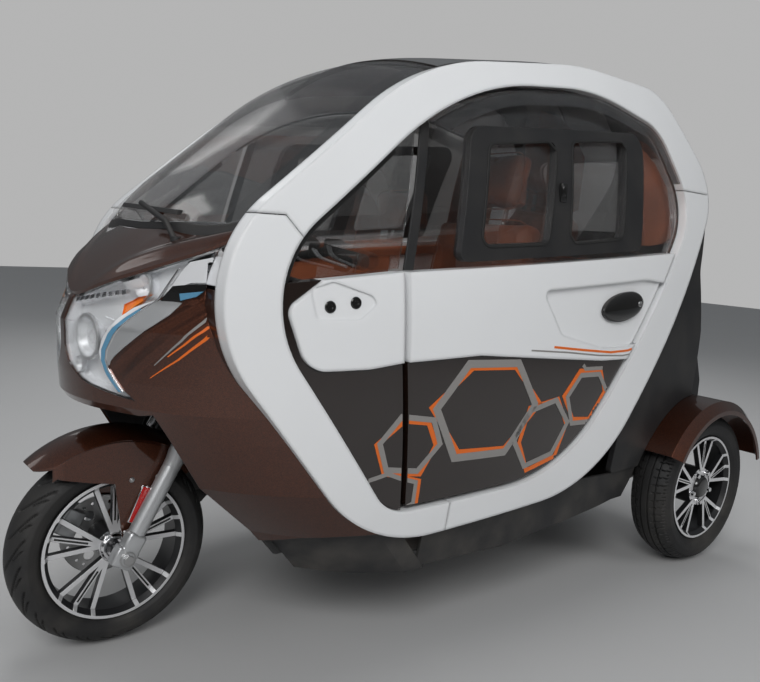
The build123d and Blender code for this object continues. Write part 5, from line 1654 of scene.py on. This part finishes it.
class CAR_OT_headlamps(bpy.types.Operator):
    """Fills the clear lenses with chrome trays, bowls, bulbs and amber indicators"""

    bl_idname = "car.headlamps"
    bl_label = "Headlamp Innards"

    def execute(self, context):
        lens = ("headlamps",)
        # The trays take the lamp chrome, bright partly by painted reflection.
        sheet_ahead(
            "lamp_trays", "lamp_chrome_painted_reflection", lens, strip_polygons(LENS_LOW, LENS_HIGH), lift=-LENS_TRAY_DEPTH,
            thick=0, pitch=9, rim=LENS_TRAY_DEPTH - LENS_CLEAR,
        )
        sheet_ahead(
            "lamp_ambers", "lamp_amber", lens, fan(AMBER), lift=-0.0095, thick=0.002, pitch=6,
        )
        sheet_ahead("lamp_corners", "black_gloss", lens, fan(CORNER_BLACK), lift=-0.013, thick=0.005, pitch=9)
        fins = []
        for k in range(9):
            x, z = 36 + 17 * k, 812 + 3.4 * k
            fins.append([(x, z - 9), (x + 10, z - 6), (x + 10, z + 4), (x, z + 1)])
        sheet_ahead("lamp_fins", "chrome", lens, fins, lift=-0.018, thick=0.004, pitch=9)
        for side, sign in SIDES:
            for row in LAMP_BOWLS:
                self.bowl(row, side, sign, lens)
        return {"FINISHED"}

    def bowl(self, row, side, sign, lens):
        """A round mirror behind the lens with a silver ring round its mouth and a bulb in its middle. The
        mirror's brightness is partly a painted reflection.
        """
        hit = front_point(lens, sign * row["x"], row["z"])
        if hit is None:
            raise RuntimeError(f"no lens ahead of the {row['name']} bowl")
        place, normal = hit
        mouth, axis = place - normal * MOUTH_DEPTH, (normal + Vector((0, -1.2, 0))).normalized()
        r, d, b = row["radius"], row["depth"], row["bulb"]
        bowl = [(0.0, r), (0.0, r * 0.90)]
        bowl += [(-d * (1 - (k / 6) ** 2) ** 0.5, r * 0.90 * k / 6) for k in range(5, 0, -1)]
        bowl += [(-d, 0.0), (-d - 0.002, 0.0)]
        bowl += [(-(d + 0.002) * (1 - (k / 6) ** 2) ** 0.5, r * k / 6) for k in range(1, 6)]
        ring = [(0.003, r * 1.08), (0.003, r * 0.93), (0.0, r * 0.88), (-0.004, r * 0.95), (-0.004, r * 1.08)]
        bulb = [(-d, 0.0), (-d, b * 0.7), (-d * 0.6, b * 0.8)]
        bulb += [
            (-d * 0.6 + b * math.sin(math.pi * k / 12), b * math.cos(math.pi * k / 12)) for k in range(0, 6)
        ]
        bulb += [(-d * 0.6 + b, 0.0)]
        for part, material, profile, steps, slot in (
            ("bowl", "lamp_chrome_painted_reflection", bowl, 48, "disc_steel"),
            ("ring", "silver_lacquer", ring, 48, "fork_silver"),
            ("bulb", "lamp_clear", bulb, 32, "lamp_lens"),
        ):
            name = f"lamp_{part}_{row['name']}_{side}"
            turned(name, "root", material, profile, mouth, axis, steps=steps, slot=slot)


def fan(corners):
    """Triangles from the first corner over a convex outline."""
    return [[corners[0], corners[k], corners[k + 1]] for k in range(1, len(corners) - 1)]


LIP_HEIGHTS = {"copper": (250, 866), "chrome": (866, 922)}
LIP_PITCH, LIP_THICK = 8, 0.003


class CAR_OT_cowl_lines(bpy.types.Operator):
    """Lays the grey band beside the lens and the lines on the cowl, and seals the lens edge"""

    bl_idname = "car.cowl_lines"
    bl_label = "Cowl Bands and Lines"

    def execute(self, context):
        nodes = ("nose_cowl", "headlamps")
        # The fills, the wings and the wing lips take the lamp chrome, bright partly by painted reflection.
        rows = (
            (
                "lamp_fills", "lamp_chrome_painted_reflection", strip_polygons(FILL_INNER, [(253, 832), *GUIDE_INNER[:-1]]),
                0.0006, "disc_steel",
            ),
            ("light_guides", "light_guide", strip_polygons(GUIDE_INNER, GUIDE_OUTER), 0.0010, "lamp_lens"),
            ("lamp_bands", "silver_lacquer", strip_polygons(BAND_INNER, BAND_OUTER), 0.0008, "fork_silver"),
            ("lamp_wings", "lamp_chrome_painted_reflection", fan(WING), 0.0009, "disc_steel"),
            ("wing_blacks", "black_gloss", fan(WING_BLACK), 0.0012, "black_plastic"),
            ("wing_blues", "light_guide", fan(WING_BLUE), 0.0016, "lamp_lens"),
            ("lamp_edges", "chrome", band_polygons(EDGE_LINE, 3.5, closed=False), 0.0018, "disc_steel"),
        )
        for name, material, polygons, lift, slot in rows:
            sheet_ahead(name, material, nodes, polygons, lift=lift, thick=0.0012, pitch=7)
        closing_lip("cowl_lips", "body_copper", ("nose_cowl",), *LIP_HEIGHTS["copper"], "body_brown")
        closing_lip("wing_lips", "lamp_chrome_painted_reflection", nodes, *LIP_HEIGHTS["chrome"], "disc_steel")
        for k, row in enumerate(COWL_LINES):
            sheet_ahead(
                f"cowl_line_{k}", f"stripe_{row['tone']}", ("nose_cowl",), tapered(row), lift=0.0004,
                thick=0.0003, pitch=7,
            )
        return {"FINISHED"}


def reach_of(nodes, height, start, stop, step):
    """Where the nodes are first met from ahead, going by steps from start to stop across the car."""
    hits = (front_point(nodes, x, height) for x in range(start, stop, step))
    return next((hit[0] for hit in hits if hit), None)


def closing_lip(name, material, nodes, low, high, slot):
    """A strip on both sides that closes the gap between the cowl's rear edge and the ring."""
    bm = bmesh.new()
    rows = []
    for k in range(int((high - low) / LIP_PITCH) + 1):
        z = low + k * LIP_PITCH
        edge = reach_of(nodes, z, 452, 300, -1)
        ring = reach_of(("ring_front",), z, 380, 500, 1)
        if edge and ring and ring.x > edge.x:
            rows.append((edge + Vector((-0.002, 0, 0)), (edge + ring) / 2, ring + Vector((0.003, 0.001, 0))))
    if len(rows) < 2:
        raise RuntimeError(f"nothing for {name} to close")
    for _, sign in SIDES:
        front = [[(sign * p.x, p.y, p.z) for p in row] for row in rows]
        back = [[(sign * p.x, p.y + LIP_THICK, p.z) for p in row] for row in rows]
        shell(bm, front, back)
    return new_piece(name, "root", material, bm)


def tapered(row):
    """Quads of a line that narrows from its first point to its last."""
    points = [Vector(p) for p in row["points"]]
    count = len(points)
    rims = []
    for k, point in enumerate(points):
        along = (points[min(k + 1, count - 1)] - points[max(k - 1, 0)]).normalized()
        across = Vector((-along.y, along.x)) * (
            row["wide"] + (row["slim"] - row["wide"]) * k / (count - 1)
        ) / 2
        rims.append((tuple(point + across), tuple(point - across)))
    return strip_polygons([a for a, _ in rims], [b for _, b in rims])


# Side: seals, lines on the belt, caps, handle domes, inner trim.

RING_INNER = [
    (103, 870, 230), (464, 360, 113), (1021, 388, 429), (1611, 1112, 160), (1466, 1341, 150),
    (1152, 1403, 799), (643, 1340, 837),
]
QUARTER_END = 462
DOOR_START = 486
BAND_INSET, BAND_DEPTH, BAND_SIZE = 9, 11, (0.017, 0.014)
SEAL_INSET, SEAL_DEPTH, SEAL_RADIUS = 5, 20, 0.0035
BELT_LINES = [
    {
        "tone": "warm", "width": 6,
        "points": [(927, 733), (1042, 721), (1168, 709), (1249, 710), (1290, 717), (1318, 730), (1340, 752)],
    },
    {
        "tone": "cool", "width": 4,
        "points": [(844, 728), (984, 717), (1118, 703), (1225, 697), (1287, 701), (1316, 714)],
    },
]
PLUGS = ((285, 832), (343, 841))
PLUG_CAP = [
    (-0.002, 0.0), (-0.002, 0.0125), (0.0012, 0.0125), (0.0026, 0.0108), (0.0026, 0.0045), (0.0008, 0.0038),
    (0.0008, 0.0),
]
LOCK_BARREL = [
    (-0.001, 0.0), (-0.001, 0.008), (0.0058, 0.008), (0.0066, 0.0068), (0.0058, 0.0025), (0.004, 0.0),
]
LOCK_OFFSET, CATCH_AT = (70, 8), (974, 1116)
DOME_RINGS, DOME_STEPS, DOME_SINK, DOME_HEIGHT, DOME_EGG = 9, 56, 0.003, 0.0095, 0.10
PILLAR_ROWS, PILLAR_DEPTHS = [
    (1380, 1000, 1300), (1450, 1000, 1290), (1520, 1010, 1250), (1580, 1030, 1180),
], (52, 56)
DOOR_SILL = [(560, 886), (700, 896), (900, 910), (1100, 926), (1300, 942), (1420, 952)]
DOOR_PANEL, DOOR_PANEL_DEPTHS = [(570, 470), (700, 440), (880, 440), (1040, 470), (1150, 560)], (40, 44)
HANDLE_AT = (1222, 830)
HANDLE_TILT = 8
HANDLE_HALF = (97, 39)
WINDOW_PANES = [
    [(679, 973), (725, 1207), (962, 1240), (901, 989)],
    [(986, 993), (1028, 1248), (1277, 1278), (1216, 1015)],
]


def inset_path(points, amount):
    """A closed path moved inwards by an amount, by the normals at its points."""
    area = sum(a[0] * b[1] - b[0] * a[1] for a, b in zip(points, points[1:] + points[:1]))
    turn = 1 if area > 0 else -1
    made = []
    count = len(points)
    for k in range(count):
        along = Vector(points[(k + 1) % count]) - Vector(points[k - 1])
        across = Vector((-along.y, along.x)).normalized() * turn
        made.append(tuple(Vector(points[k]) + across * amount))
    return made


def run_of(points, test):
    """The longest run of a closed path's points that pass a test, in order."""
    count = len(points)
    start = next(k for k in range(count) if not test(points[k]))
    ordered = [points[(start + k) % count] for k in range(count)]
    runs, current = [], []
    for point in ordered:
        if test(point):
            current.append(point)
        elif current:
            runs.append(current)
            current = []
    if current:
        runs.append(current)
    return max(runs, key=len)


def at_side(station, height, sign, depth=0.0):
    """A place in metres under the body's side surface, depth in millimetres."""
    return Vector((sign * (half_width(station, height) - depth) / 1000, row_y(station), height / 1000))


def side_sweep(name, body, material, path, sign, depth, profile, closed=False, slot=None):
    """A profile swept along a path on the side, standing out square to the body."""
    points = [at_side(s, z, sign, depth) for s, z in path]
    ups = []
    for s, z in path:
        slope_s = (half_width(s + 5, z) - half_width(s - 5, z)) / 10
        slope_z = (half_width(s, z + 5) - half_width(s, z - 5)) / 10
        ups.append(Vector((sign, -slope_s, -slope_z)).normalized())
    return new_piece(name, body, material, sweep(points, profile, closed, ups))


def pill_profile(width, height, steps=5):
    """A flat bar with half-round long edges, as a closed profile."""
    radius = height / 2
    made = []
    for centre, start in ((width / 2 - radius, -90), (radius - width / 2, 90)):
        for k in range(steps + 1):
            turn = math.radians(start + 180 * k / steps)
            made.append((centre + radius * math.cos(turn), radius * math.sin(turn)))
    return made


class CAR_OT_seals(bpy.types.Operator):
    """Runs the rubber band round the front quarter, the door's weather seal and the beads of the windows"""

    bl_idname = "car.seals"
    bl_label = "Seals"

    def execute(self, context):
        outline = rounded_path(RING_INNER, pitch=14)
        band = run_of(inset_path(outline, BAND_INSET), lambda p: p[0] < QUARTER_END and p[1] > 330)
        loop = inset_path(outline, SEAL_INSET)
        seal = run_of(loop, lambda p: p[0] > DOOR_START)
        band_form, seal_form = pill_profile(*BAND_SIZE), round_profile(SEAL_RADIUS, 8)
        for side, sign in SIDES:
            rubber = partial(side_sweep, body="root", material="seal_rubber", sign=sign, slot="grip_rubber")
            rubber(f"quarter_band_{side}", path=band, depth=BAND_DEPTH, profile=band_form)
            rubber(f"door_seal_{side}", path=seal, depth=SEAL_DEPTH, profile=seal_form)
            for k, pane in enumerate(WINDOW_PANES):
                self.pane_bead(f"pane_bead_{side}_{k}", side, pane, sign)
        return {"FINISHED"}

    def pane_bead(self, name, side, pane, sign):
        """A slim rubber bead round a pane's opening, on the frame's face."""
        path = inset_path(rounded_path([(*corner, 22) for corner in pane], pitch=10), -3)
        hits = [side_point((f"door_trim_{side}",), s, z, sign) for s, z in path]
        points = [hit[0] + hit[1] * 0.0006 for hit in hits if hit]
        if len(points) < len(path) * 0.9:
            return
        ups = [Vector((sign, 0, 0.25)).normalized()] * len(points)
        bead = sweep(points, pill_profile(0.007, 0.003, 3), True, ups)
        new_piece(name, f"door_{side}", "seal_rubber", bead)


class CAR_OT_side_trim(bpy.types.Operator):
    """Adds the lines under the belt, the plug caps, the handle domes and the brown trim inside the doors"""

    bl_idname = "car.side_trim"
    bl_label = "Side Trim"

    def execute(self, context):
        for side, sign in SIDES:
            door = f"door_{side}"
            for k, row in enumerate(BELT_LINES):
                polygons = band_polygons(row["points"], row["width"], closed=False)
                sheet_on_side(
                    f"belt_line_{k}_{side}", door, f"stripe_{row['tone']}", (f"door_belt_{side}",), polygons,
                    sign, lift=0.0003, thick=0.0003, pitch=9,
                )
            for k, (s, z) in enumerate(PLUGS):
                self.plug(f"plug_cap_{side}_{k}", s, z, sign)
            self.handle(side, sign)
            self.inner_trim(side, sign)
            self.pillar(side, sign)
        return {"FINISHED"}

    def plug(self, name, s, z, sign):
        """A small round cap on the belt."""
        hit = side_point(("quarter_belts",), s, z, sign)
        if hit:
            turned(name, "root", "black_gloss", PLUG_CAP, *hit, steps=36, slot="grip_rubber")

    def handle(self, side, sign):
        """A glossy egg-shaped dome over the door's pull handle."""
        centre = side_point((f"door_trim_{side}",), *HANDLE_AT, sign)
        if centre is None:
            raise RuntimeError("no door trim under the handle")
        bm = bmesh.new()
        tilt, base = math.radians(HANDLE_TILT), centre[0].x * sign
        grid = []
        for i in range(DOME_RINGS + 1):
            level = i / DOME_RINGS * math.pi / 2
            row = []
            for k in range(DOME_STEPS):
                turn = 2 * math.pi * k / DOME_STEPS
                u = HANDLE_HALF[0] * math.cos(turn) * math.cos(level)
                v = HANDLE_HALF[1] * (1 + DOME_EGG * math.cos(turn)) * math.sin(turn) * math.cos(level)
                s = HANDLE_AT[0] + u * math.cos(tilt) - v * math.sin(tilt)
                z = HANDLE_AT[1] + u * math.sin(tilt) + v * math.cos(tilt)
                lean = (half_width(s, z) - half_width(*HANDLE_AT)) / 1000
                out = base + lean - DOME_SINK + DOME_HEIGHT * math.sin(level)
                row.append(bm.verts.new((sign * out, row_y(s), z / 1000)))
            grid.append(row)
        for a, b in zip(grid[:-1], grid[1:]):
            for k in range(DOME_STEPS):
                bm.faces.new((a[k - 1], a[k], b[k], b[k - 1]))
        bm.faces.new(grid[0])
        bmesh.ops.remove_doubles(bm, verts=bm.verts[:], dist=1e-5)
        bmesh.ops.recalc_face_normals(bm, faces=bm.faces[:])
        new_piece(f"handle_dome_{side}", f"door_{side}", "black_gloss", bm)
        spot = (place + offset for place, offset in zip(HANDLE_AT, LOCK_OFFSET))
        hit = side_point((f"door_trim_{side}",), *spot, sign)
        if hit:
            name, door = f"handle_lock_{side}", f"door_{side}"
            turned(name, door, "steel", LOCK_BARREL, hit[0], (sign, 0, 0), steps=24, slot="disc_steel")

    def pillar(self, side, sign):
        """The brown trim inside the ring's rear corner, and the catch on the window's middle bar."""
        outer, inner = (
            [
                [at_side(s, z, sign, depth) for z in (low, (low + high) / 2, high)]
                for s, low, high in PILLAR_ROWS
            ]
            for depth in PILLAR_DEPTHS
        )
        bm = shell(bmesh.new(), outer, inner)
        new_piece(f"pillar_trim_{side}", "root", "seat_leather", bm)
        hit = side_point((f"door_trim_{side}",), *CATCH_AT, sign)
        if hit:
            catch = joined([
                block(hit[0] + Vector((sign * 0.004, -0.012, 0)), (0.010, 0.022, 0.046), None, 0.002, 2),
                block(hit[0] + Vector((sign * 0.009, -0.014, 0.004)), (0.006, 0.010, 0.026), None, 0.0015, 2),
            ])
            new_piece(f"window_catch_{side}", f"door_{side}", "black_gloss", catch)

    def inner_trim(self, side, sign):
        """A padded brown sill along the top of the door, with a brown panel under it."""
        name, door, form = f"door_sill_{side}", f"door_{side}", pill_profile(0.034, 0.024, 6)
        side_sweep(name, door, "seat_leather", DOOR_SILL, sign, 46, form, slot="leather_brown")
        outer, inner = [], []
        for s, low in DOOR_PANEL:
            high = 872 + (s - 560) * 0.078
            levels = [low + (high - low) * level / 6 for level in range(7)]
            for grid, depth in zip((outer, inner), DOOR_PANEL_DEPTHS):
                grid.append([at_side(s, z, sign, depth) for z in levels])
        bm = shell(bmesh.new(), outer, inner)
        new_piece(f"door_inner_{side}", f"door_{side}", "seat_leather", bm)


# Cabin: padded seats, controls, floor mat.

PADS = [
    {
        "name": "driver_cushion", "centre": (0, 865, 545), "size": (0.430, 0.440, 0.108), "lean": 0,
        "seat": "driver_seat", "grow": 0.012, "seams": (-0.33, 0.33),
    },
    {
        "name": "driver_back", "centre": (0, 1141, 814), "size": (0.420, 0.095, 0.488), "lean": 11.5,
        "seat": "driver_seat", "grow": 0.010, "seams": (-0.33, 0.33),
    },
    {
        "name": "driver_headrest", "centre": (0, 1204, 1170), "size": (0.250, 0.090, 0.180), "lean": 5.8,
        "seat": "driver_seat", "grow": 0.008, "seams": (),
    },
    {
        "name": "bench_cushion", "centre": (0, 1440, 575), "size": (0.730, 0.330, 0.100), "lean": 0,
        "seat": "rear_bench", "grow": 0.010, "seams": (0.0,),
    },
    {
        "name": "bench_back", "centre": (0, 1579, 774), "size": (0.730, 0.090, 0.350), "lean": 6.9,
        "seat": "rear_bench", "grow": 0.009, "seams": (0.0,),
    },
]
PAD_SHRINK = 0.009
PAD_VOXEL = 0.006
PAD_FRAMES = 20
SEAM_DEPTH, SEAM_WIDTH = 0.008, 0.009
WELT_RADIUS, WELT_INSET, WELT_LEVEL = 0.0022, 0.0035, 0.35


class CAR_OT_seats(bpy.types.Operator):
    """Blows up each seat pad as cloth from a slightly smaller block, then sews seams and piping on it"""

    bl_idname = "car.seats"
    bl_label = "Seats"

    def execute(self, context):
        covers = {}
        for row in PADS:
            covers.setdefault(row["seat"], []).append(self.pad(context, row))
        posts = []
        for x in (-0.06, 0.06):
            low, high = Vector((x, row_y(1182), 1.020)), Vector((x, row_y(1204), 1.120))
            posts.append(
                sweep([low, low.lerp(high, 0.5), high], round_profile(0.007, 14), ups=[Vector((1, 0, 0))] * 3)
            )
        post = new_piece("headrest_posts", "root", "chrome", joined(posts))
        covers["driver_seat"].append(post)
        for seat, pieces in covers.items():
            for piece in pieces:
                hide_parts(seat)
        return {"FINISHED"}

    def pad(self, context, row):
        turn = Matrix.Rotation(math.radians(-row["lean"]), 3, "X")
        x, s, z = row["centre"]
        centre = Vector((x / 1000, row_y(s), z / 1000))
        size = [v - 2 * PAD_SHRINK for v in row["size"]]
        bm = block(Vector((0, 0, 0)), size, None, bevel=min(size) * 0.32, segments=4)
        mesh = bpy.data.meshes.new(row["name"])
        bm.to_mesh(mesh)
        bm.free()
        obj = bpy.data.objects.new(row["name"], mesh)
        context.scene.collection.objects.link(obj)
        remesh = obj.modifiers.new("Voxels", "REMESH")
        remesh.mode, remesh.voxel_size = "VOXEL", PAD_VOXEL
        apply_modifiers(obj)
        rest = [v.co.copy() for v in obj.data.vertices]
        self.inflate(context, obj)
        half = Vector(row["size"]) / 2
        limit = row["grow"]
        for vert, start in zip(obj.data.vertices, rest):
            move = vert.co - start
            if move.length > limit:
                move *= limit / move.length
            place = start + move
            place.z += self.channel(row, place, half)
            vert.co = [max(-h, min(h, c)) for c, h in zip(place, half)]
        subdivide = obj.modifiers.new("Smooth", "SUBSURF")
        subdivide.levels = subdivide.render_levels = 1
        apply_modifiers(obj)
        for vert in obj.data.vertices:
            vert.co = centre + turn @ vert.co
        obj.data.materials.append(MATERIALS["seat_leather"])
        obj.data.shade_smooth()
        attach(obj, "root")
        self.piping(row, centre, turn)
        return obj

    def channel(self, row, place, half):
        """A shallow furrow along each seam, on the side that carries the sitter."""
        flat = row["size"][2] < row["size"][1] or row["size"][1] > 0.2
        if not flat or place.z < 0:
            return 0.0
        offsets = (((place.x / half.x) - seam) * half.x / SEAM_WIDTH for seam in row["seams"])
        return sum(-SEAM_DEPTH * math.exp(-(offset**2)) for offset in offsets)

    def inflate(self, context, obj):
        """Fills the pad's cover with air pressure over a short run of frames."""
        cloth = obj.modifiers.new("Cloth", "CLOTH")
        cloth.settings.use_pressure = True
        cloth.settings.uniform_pressure_force = 4
        cloth.settings.effector_weights.gravity = 0
        cloth.settings.quality = 3
        cloth.settings.tension_stiffness = 8
        cloth.settings.compression_stiffness = 8
        for frame_number in range(1, PAD_FRAMES + 1):
            context.scene.frame_set(frame_number)
        apply_modifiers(obj)
        context.scene.frame_set(1)

    def piping(self, row, centre, turn):
        """A thin welt round the pad where its faces meet."""
        wide, deep, tall = (v / 2 for v in row["size"])
        flat = deep > tall
        a, b = (wide, deep) if flat else (wide, tall)
        level = tall * WELT_LEVEL if flat else -deep * WELT_LEVEL
        corner = min(a, b) * 0.42
        ring = []
        for sx, sy, start in ((1, 1, 0), (-1, 1, 90), (-1, -1, 180), (1, -1, 270)):
            for k in range(7):
                angle = math.radians(start + 90 * k / 6)
                u = (sx * (a - corner) + corner * math.cos(angle)) * (1 - WELT_INSET / a)
                v = (sy * (b - corner) + corner * math.sin(angle)) * (1 - WELT_INSET / b)
                ring.append(centre + turn @ (Vector((u, v, level)) if flat else Vector((u, level, v))))
        up = turn @ (Vector((0, 0, 1)) if flat else Vector((0, -1, 0)))
        welt = sweep(ring, round_profile(WELT_RADIUS, 8), closed=True, ups=[up] * len(ring))
        new_piece(f"{row['name']}_welt", "root", "seat_leather", welt)


POD_TURN = Matrix.Rotation(math.radians(-32), 3, "X")
GRIP_RINGS, GRIP_LENGTH = 13, 0.108
MAT_RIBS, MAT_PITCH = 10, 20


class CAR_OT_controls(bpy.types.Operator):
    """Adds the instrument pod, the grips with their levers and switch housings, and the ribbed floor mat"""

    bl_idname = "car.controls"
    bl_label = "Controls"

    def execute(self, context):
        top = up_axis(0.800, 0)
        pod = block(top + Vector((0, -0.030, 0.030)), (0.19, 0.095, 0.052), POD_TURN, 0.014, 3)
        new_piece("instrument_pod", "steering", "black_grained", pod)
        face = block(top + Vector((0, -0.011, 0.0535)), (0.15, 0.06, 0.004), POD_TURN, 0.0015, 2)
        new_piece("instrument_glass", "steering", "black_gloss", face)
        profile = [(0.0, 0.0165), (0.0, 0.0178)]
        for k in range(GRIP_RINGS):
            t = 0.004 + GRIP_LENGTH * k / (GRIP_RINGS - 1)
            profile += [(t, 0.0178), (t + 0.002, 0.0190), (t + 0.006, 0.0190), (t + 0.0075, 0.0178)]
        profile += [(0.121, 0.0185), (0.125, 0.0150), (0.125, 0.012)]
        levers, housings = [], []
        for side, sign in SIDES:
            inner = top + Vector((sign * 0.212, 0.009, 0.020))
            outer = top + Vector((sign * 0.332, 0.0345, 0.0037))
            along = (outer - inner).normalized()
            turned(
                f"grip_{side}", "steering", "seal_rubber", profile, inner, along, steps=32,
                slot="grip_rubber",
            )
            start = inner - along * 0.018 + Vector((0, -0.018, 0.004))
            mid = inner + along * 0.03 + Vector((0, -0.042, -0.006))
            end = outer + Vector((0, -0.050, -0.010))
            run = smooth_run([start, mid, (mid + end) / 2 + Vector((0, -0.006, 0)), end], 7)
            flat = [(a, b * 0.55) for a, b in round_profile(0.0062, 10)]
            levers.append(sweep(run, flat, ups=[Vector((0, 0, 1))] * len(run)))
            housings.append(block(inner - along * 0.024, (0.034, 0.040, 0.036), None, 0.006, 3))
        new_piece("brake_levers", "steering", "silver_lacquer", joined(levers))
        new_piece("switch_housings", "steering", "black_grained", joined(housings))
        rows = (row_y(449 + MAT_PITCH * k) for k in range(MAT_RIBS))
        ribs = [block(Vector((0, y, 0.2425)), (0.50, 0.009, 0.004), None, 0.0012, 1) for y in rows]
        mat = block(Vector((0, row_y(538), 0.2412)), (0.54, 0.21, 0.0018), None, 0.0006, 1)
        new_piece("floor_mat", "root", "seal_rubber", joined([mat, *ribs]))
        return {"FINISHED"}


# Rear: lamp frames and ribs, window seal, bumper caps, reflectors.

REAR_WINDOW = {"z": 1165, "size": (560, 250), "corner": 60}
TAIL_LAMP = {"x": 350, "z": 870, "size": (60, 190), "corner": 25}
LAMP_RIBS = (("turn", "lamp_amber", range(905, 955, 7)), ("stop", "reflector_red", range(790, 895, 7)))
BUMPER_CAP = [(-0.012, 0.0), (-0.012, 0.0228), (0.004, 0.0228), (0.009, 0.019), (0.010, 0.0)]
BUMPER_END = (0.330, -0.082, 0.480)
REFLECTOR = [(-0.003, 0.0), (-0.003, 0.027), (0.002, 0.027), (0.005, 0.024), (0.005, 0.0)]
REFLECTOR_AT = (290, 590)


def rear_loop(name, material, nodes, centre, size, corner, profile, out):
    """A profile swept round a rounded rectangle that is laid on the back of the car."""
    (cx, cz), (w, h) = centre, size
    turns = ((-1, -1), (1, -1), (1, 1), (-1, 1))
    path = rounded_path([(cx + a * w / 2, cz + b * h / 2, corner) for a, b in turns], pitch=10)
    hits = [hit for hit in (rear_point(nodes, x, z) for x, z in path) if hit]
    points, ups = [place + normal * out for place, normal in hits], [normal for _, normal in hits]
    if len(points) < 12:
        return None
    return new_piece(name, "root", material, sweep(points, profile, True, ups))


class CAR_OT_rear(bpy.types.Operator):
    """Adds the lamp frames and ribs, the rear window's seal, the bumper caps and the reflectors"""

    bl_idname = "car.rear"
    bl_label = "Rear Details"

    def execute(self, context):
        row, form = REAR_WINDOW, pill_profile(0.016, 0.006, 4)
        nodes, size = ("rear_panel", "rear_window"), [v + 4 for v in row["size"]]
        rear_loop(
            "rear_window_seal", "seal_rubber", nodes, (0, row["z"]), size, row["corner"], form, 0.001,
        )
        row, form = TAIL_LAMP, pill_profile(0.007, 0.005, 4)
        nodes, size = ("tail_lamps", "rear_panel", "tail_box", "rear_quarters"), [v + 3 for v in row["size"]]
        for side, sign in SIDES:
            name, centre = f"tail_lamp_frame_{side}", (sign * row["x"], row["z"])
            rear_loop(name, "chrome", nodes, centre, size, row["corner"], form, 0.001)
            self.bars(side, sign, row)
            self.reflector(side, sign)
            x, back, z = BUMPER_END
            end = Vector((sign * x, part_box("rear_bumper")[1].y + back, z))
            way = (sign * 0.8, -0.6, 0)
            turned(
                f"bumper_cap_{side}", "root", "seal_rubber", BUMPER_CAP, end, way, steps=32,
                slot="grip_rubber",
            )
        return {"FINISHED"}

    def bars(self, side, sign, row):
        """Raised ribs over the lens: amber above, red below."""
        for name, material, heights in LAMP_RIBS:
            strips = []
            for z in heights:
                hit = rear_point(("tail_lamps",), sign * row["x"], z)
                if hit:
                    strips.append(block(hit[0] + hit[1] * 0.0008, (0.044, 0.003, 0.0045), None, 0.001, 1))
            if strips:
                new_piece(f"tail_lamp_{name}_{side}", "root", material, joined(strips))

    def reflector(self, side, sign):
        """A round red reflector low on the tail."""
        hit = rear_point(("tail_box",), sign * REFLECTOR_AT[0], REFLECTOR_AT[1])
        if hit:
            turned(
                f"rear_reflector_{side}", "root", "reflector_red", REFLECTOR, *hit, steps=40, slot="lamp_red",
            )


class CAR_PT_pieces(bpy.types.Panel):
    """Lists the car's colours, sizes and building steps"""

    bl_idname = "CAR_PT_pieces"
    bl_label = "Three Wheeled Car"
    bl_space_type = "VIEW_3D"
    bl_region_type = "UI"
    bl_category = "Car"

    def draw(self, context):
        layout = self.layout
        for group in (context.scene.car_colours, context.scene.car_sizes):
            for key in group.__annotations__:
                layout.prop(group, key)
        for step in STEPS:
            layout.operator(step.bl_idname)


STEPS = (
    CAR_OT_stage,
    CAR_OT_finishes,
    CAR_OT_outlines,
    CAR_OT_tyres,
    CAR_OT_wheel_fittings,
    CAR_OT_fork_fittings,
    CAR_OT_hood,
    CAR_OT_headlamps,
    CAR_OT_cowl_lines,
    CAR_OT_seals,
    CAR_OT_side_trim,
    CAR_OT_seats,
    CAR_OT_controls,
    CAR_OT_rear,
)
CLASSES = (CarColours, CarSizes, *STEPS, CAR_PT_pieces)


def register():
    for cls in CLASSES:
        bpy.utils.register_class(cls)
    bpy.types.Scene.car_colours = PointerProperty(type=CarColours)
    bpy.types.Scene.car_sizes = PointerProperty(type=CarSizes)


def unregister():
    del bpy.types.Scene.car_sizes
    del bpy.types.Scene.car_colours
    for cls in reversed(CLASSES):
        bpy.utils.unregister_class(cls)


def main():
    register()
    for step in STEPS:
        category, name = step.bl_idname.split(".")
        getattr(getattr(bpy.ops, category), name)()


if __name__ == "__main__":
    main()
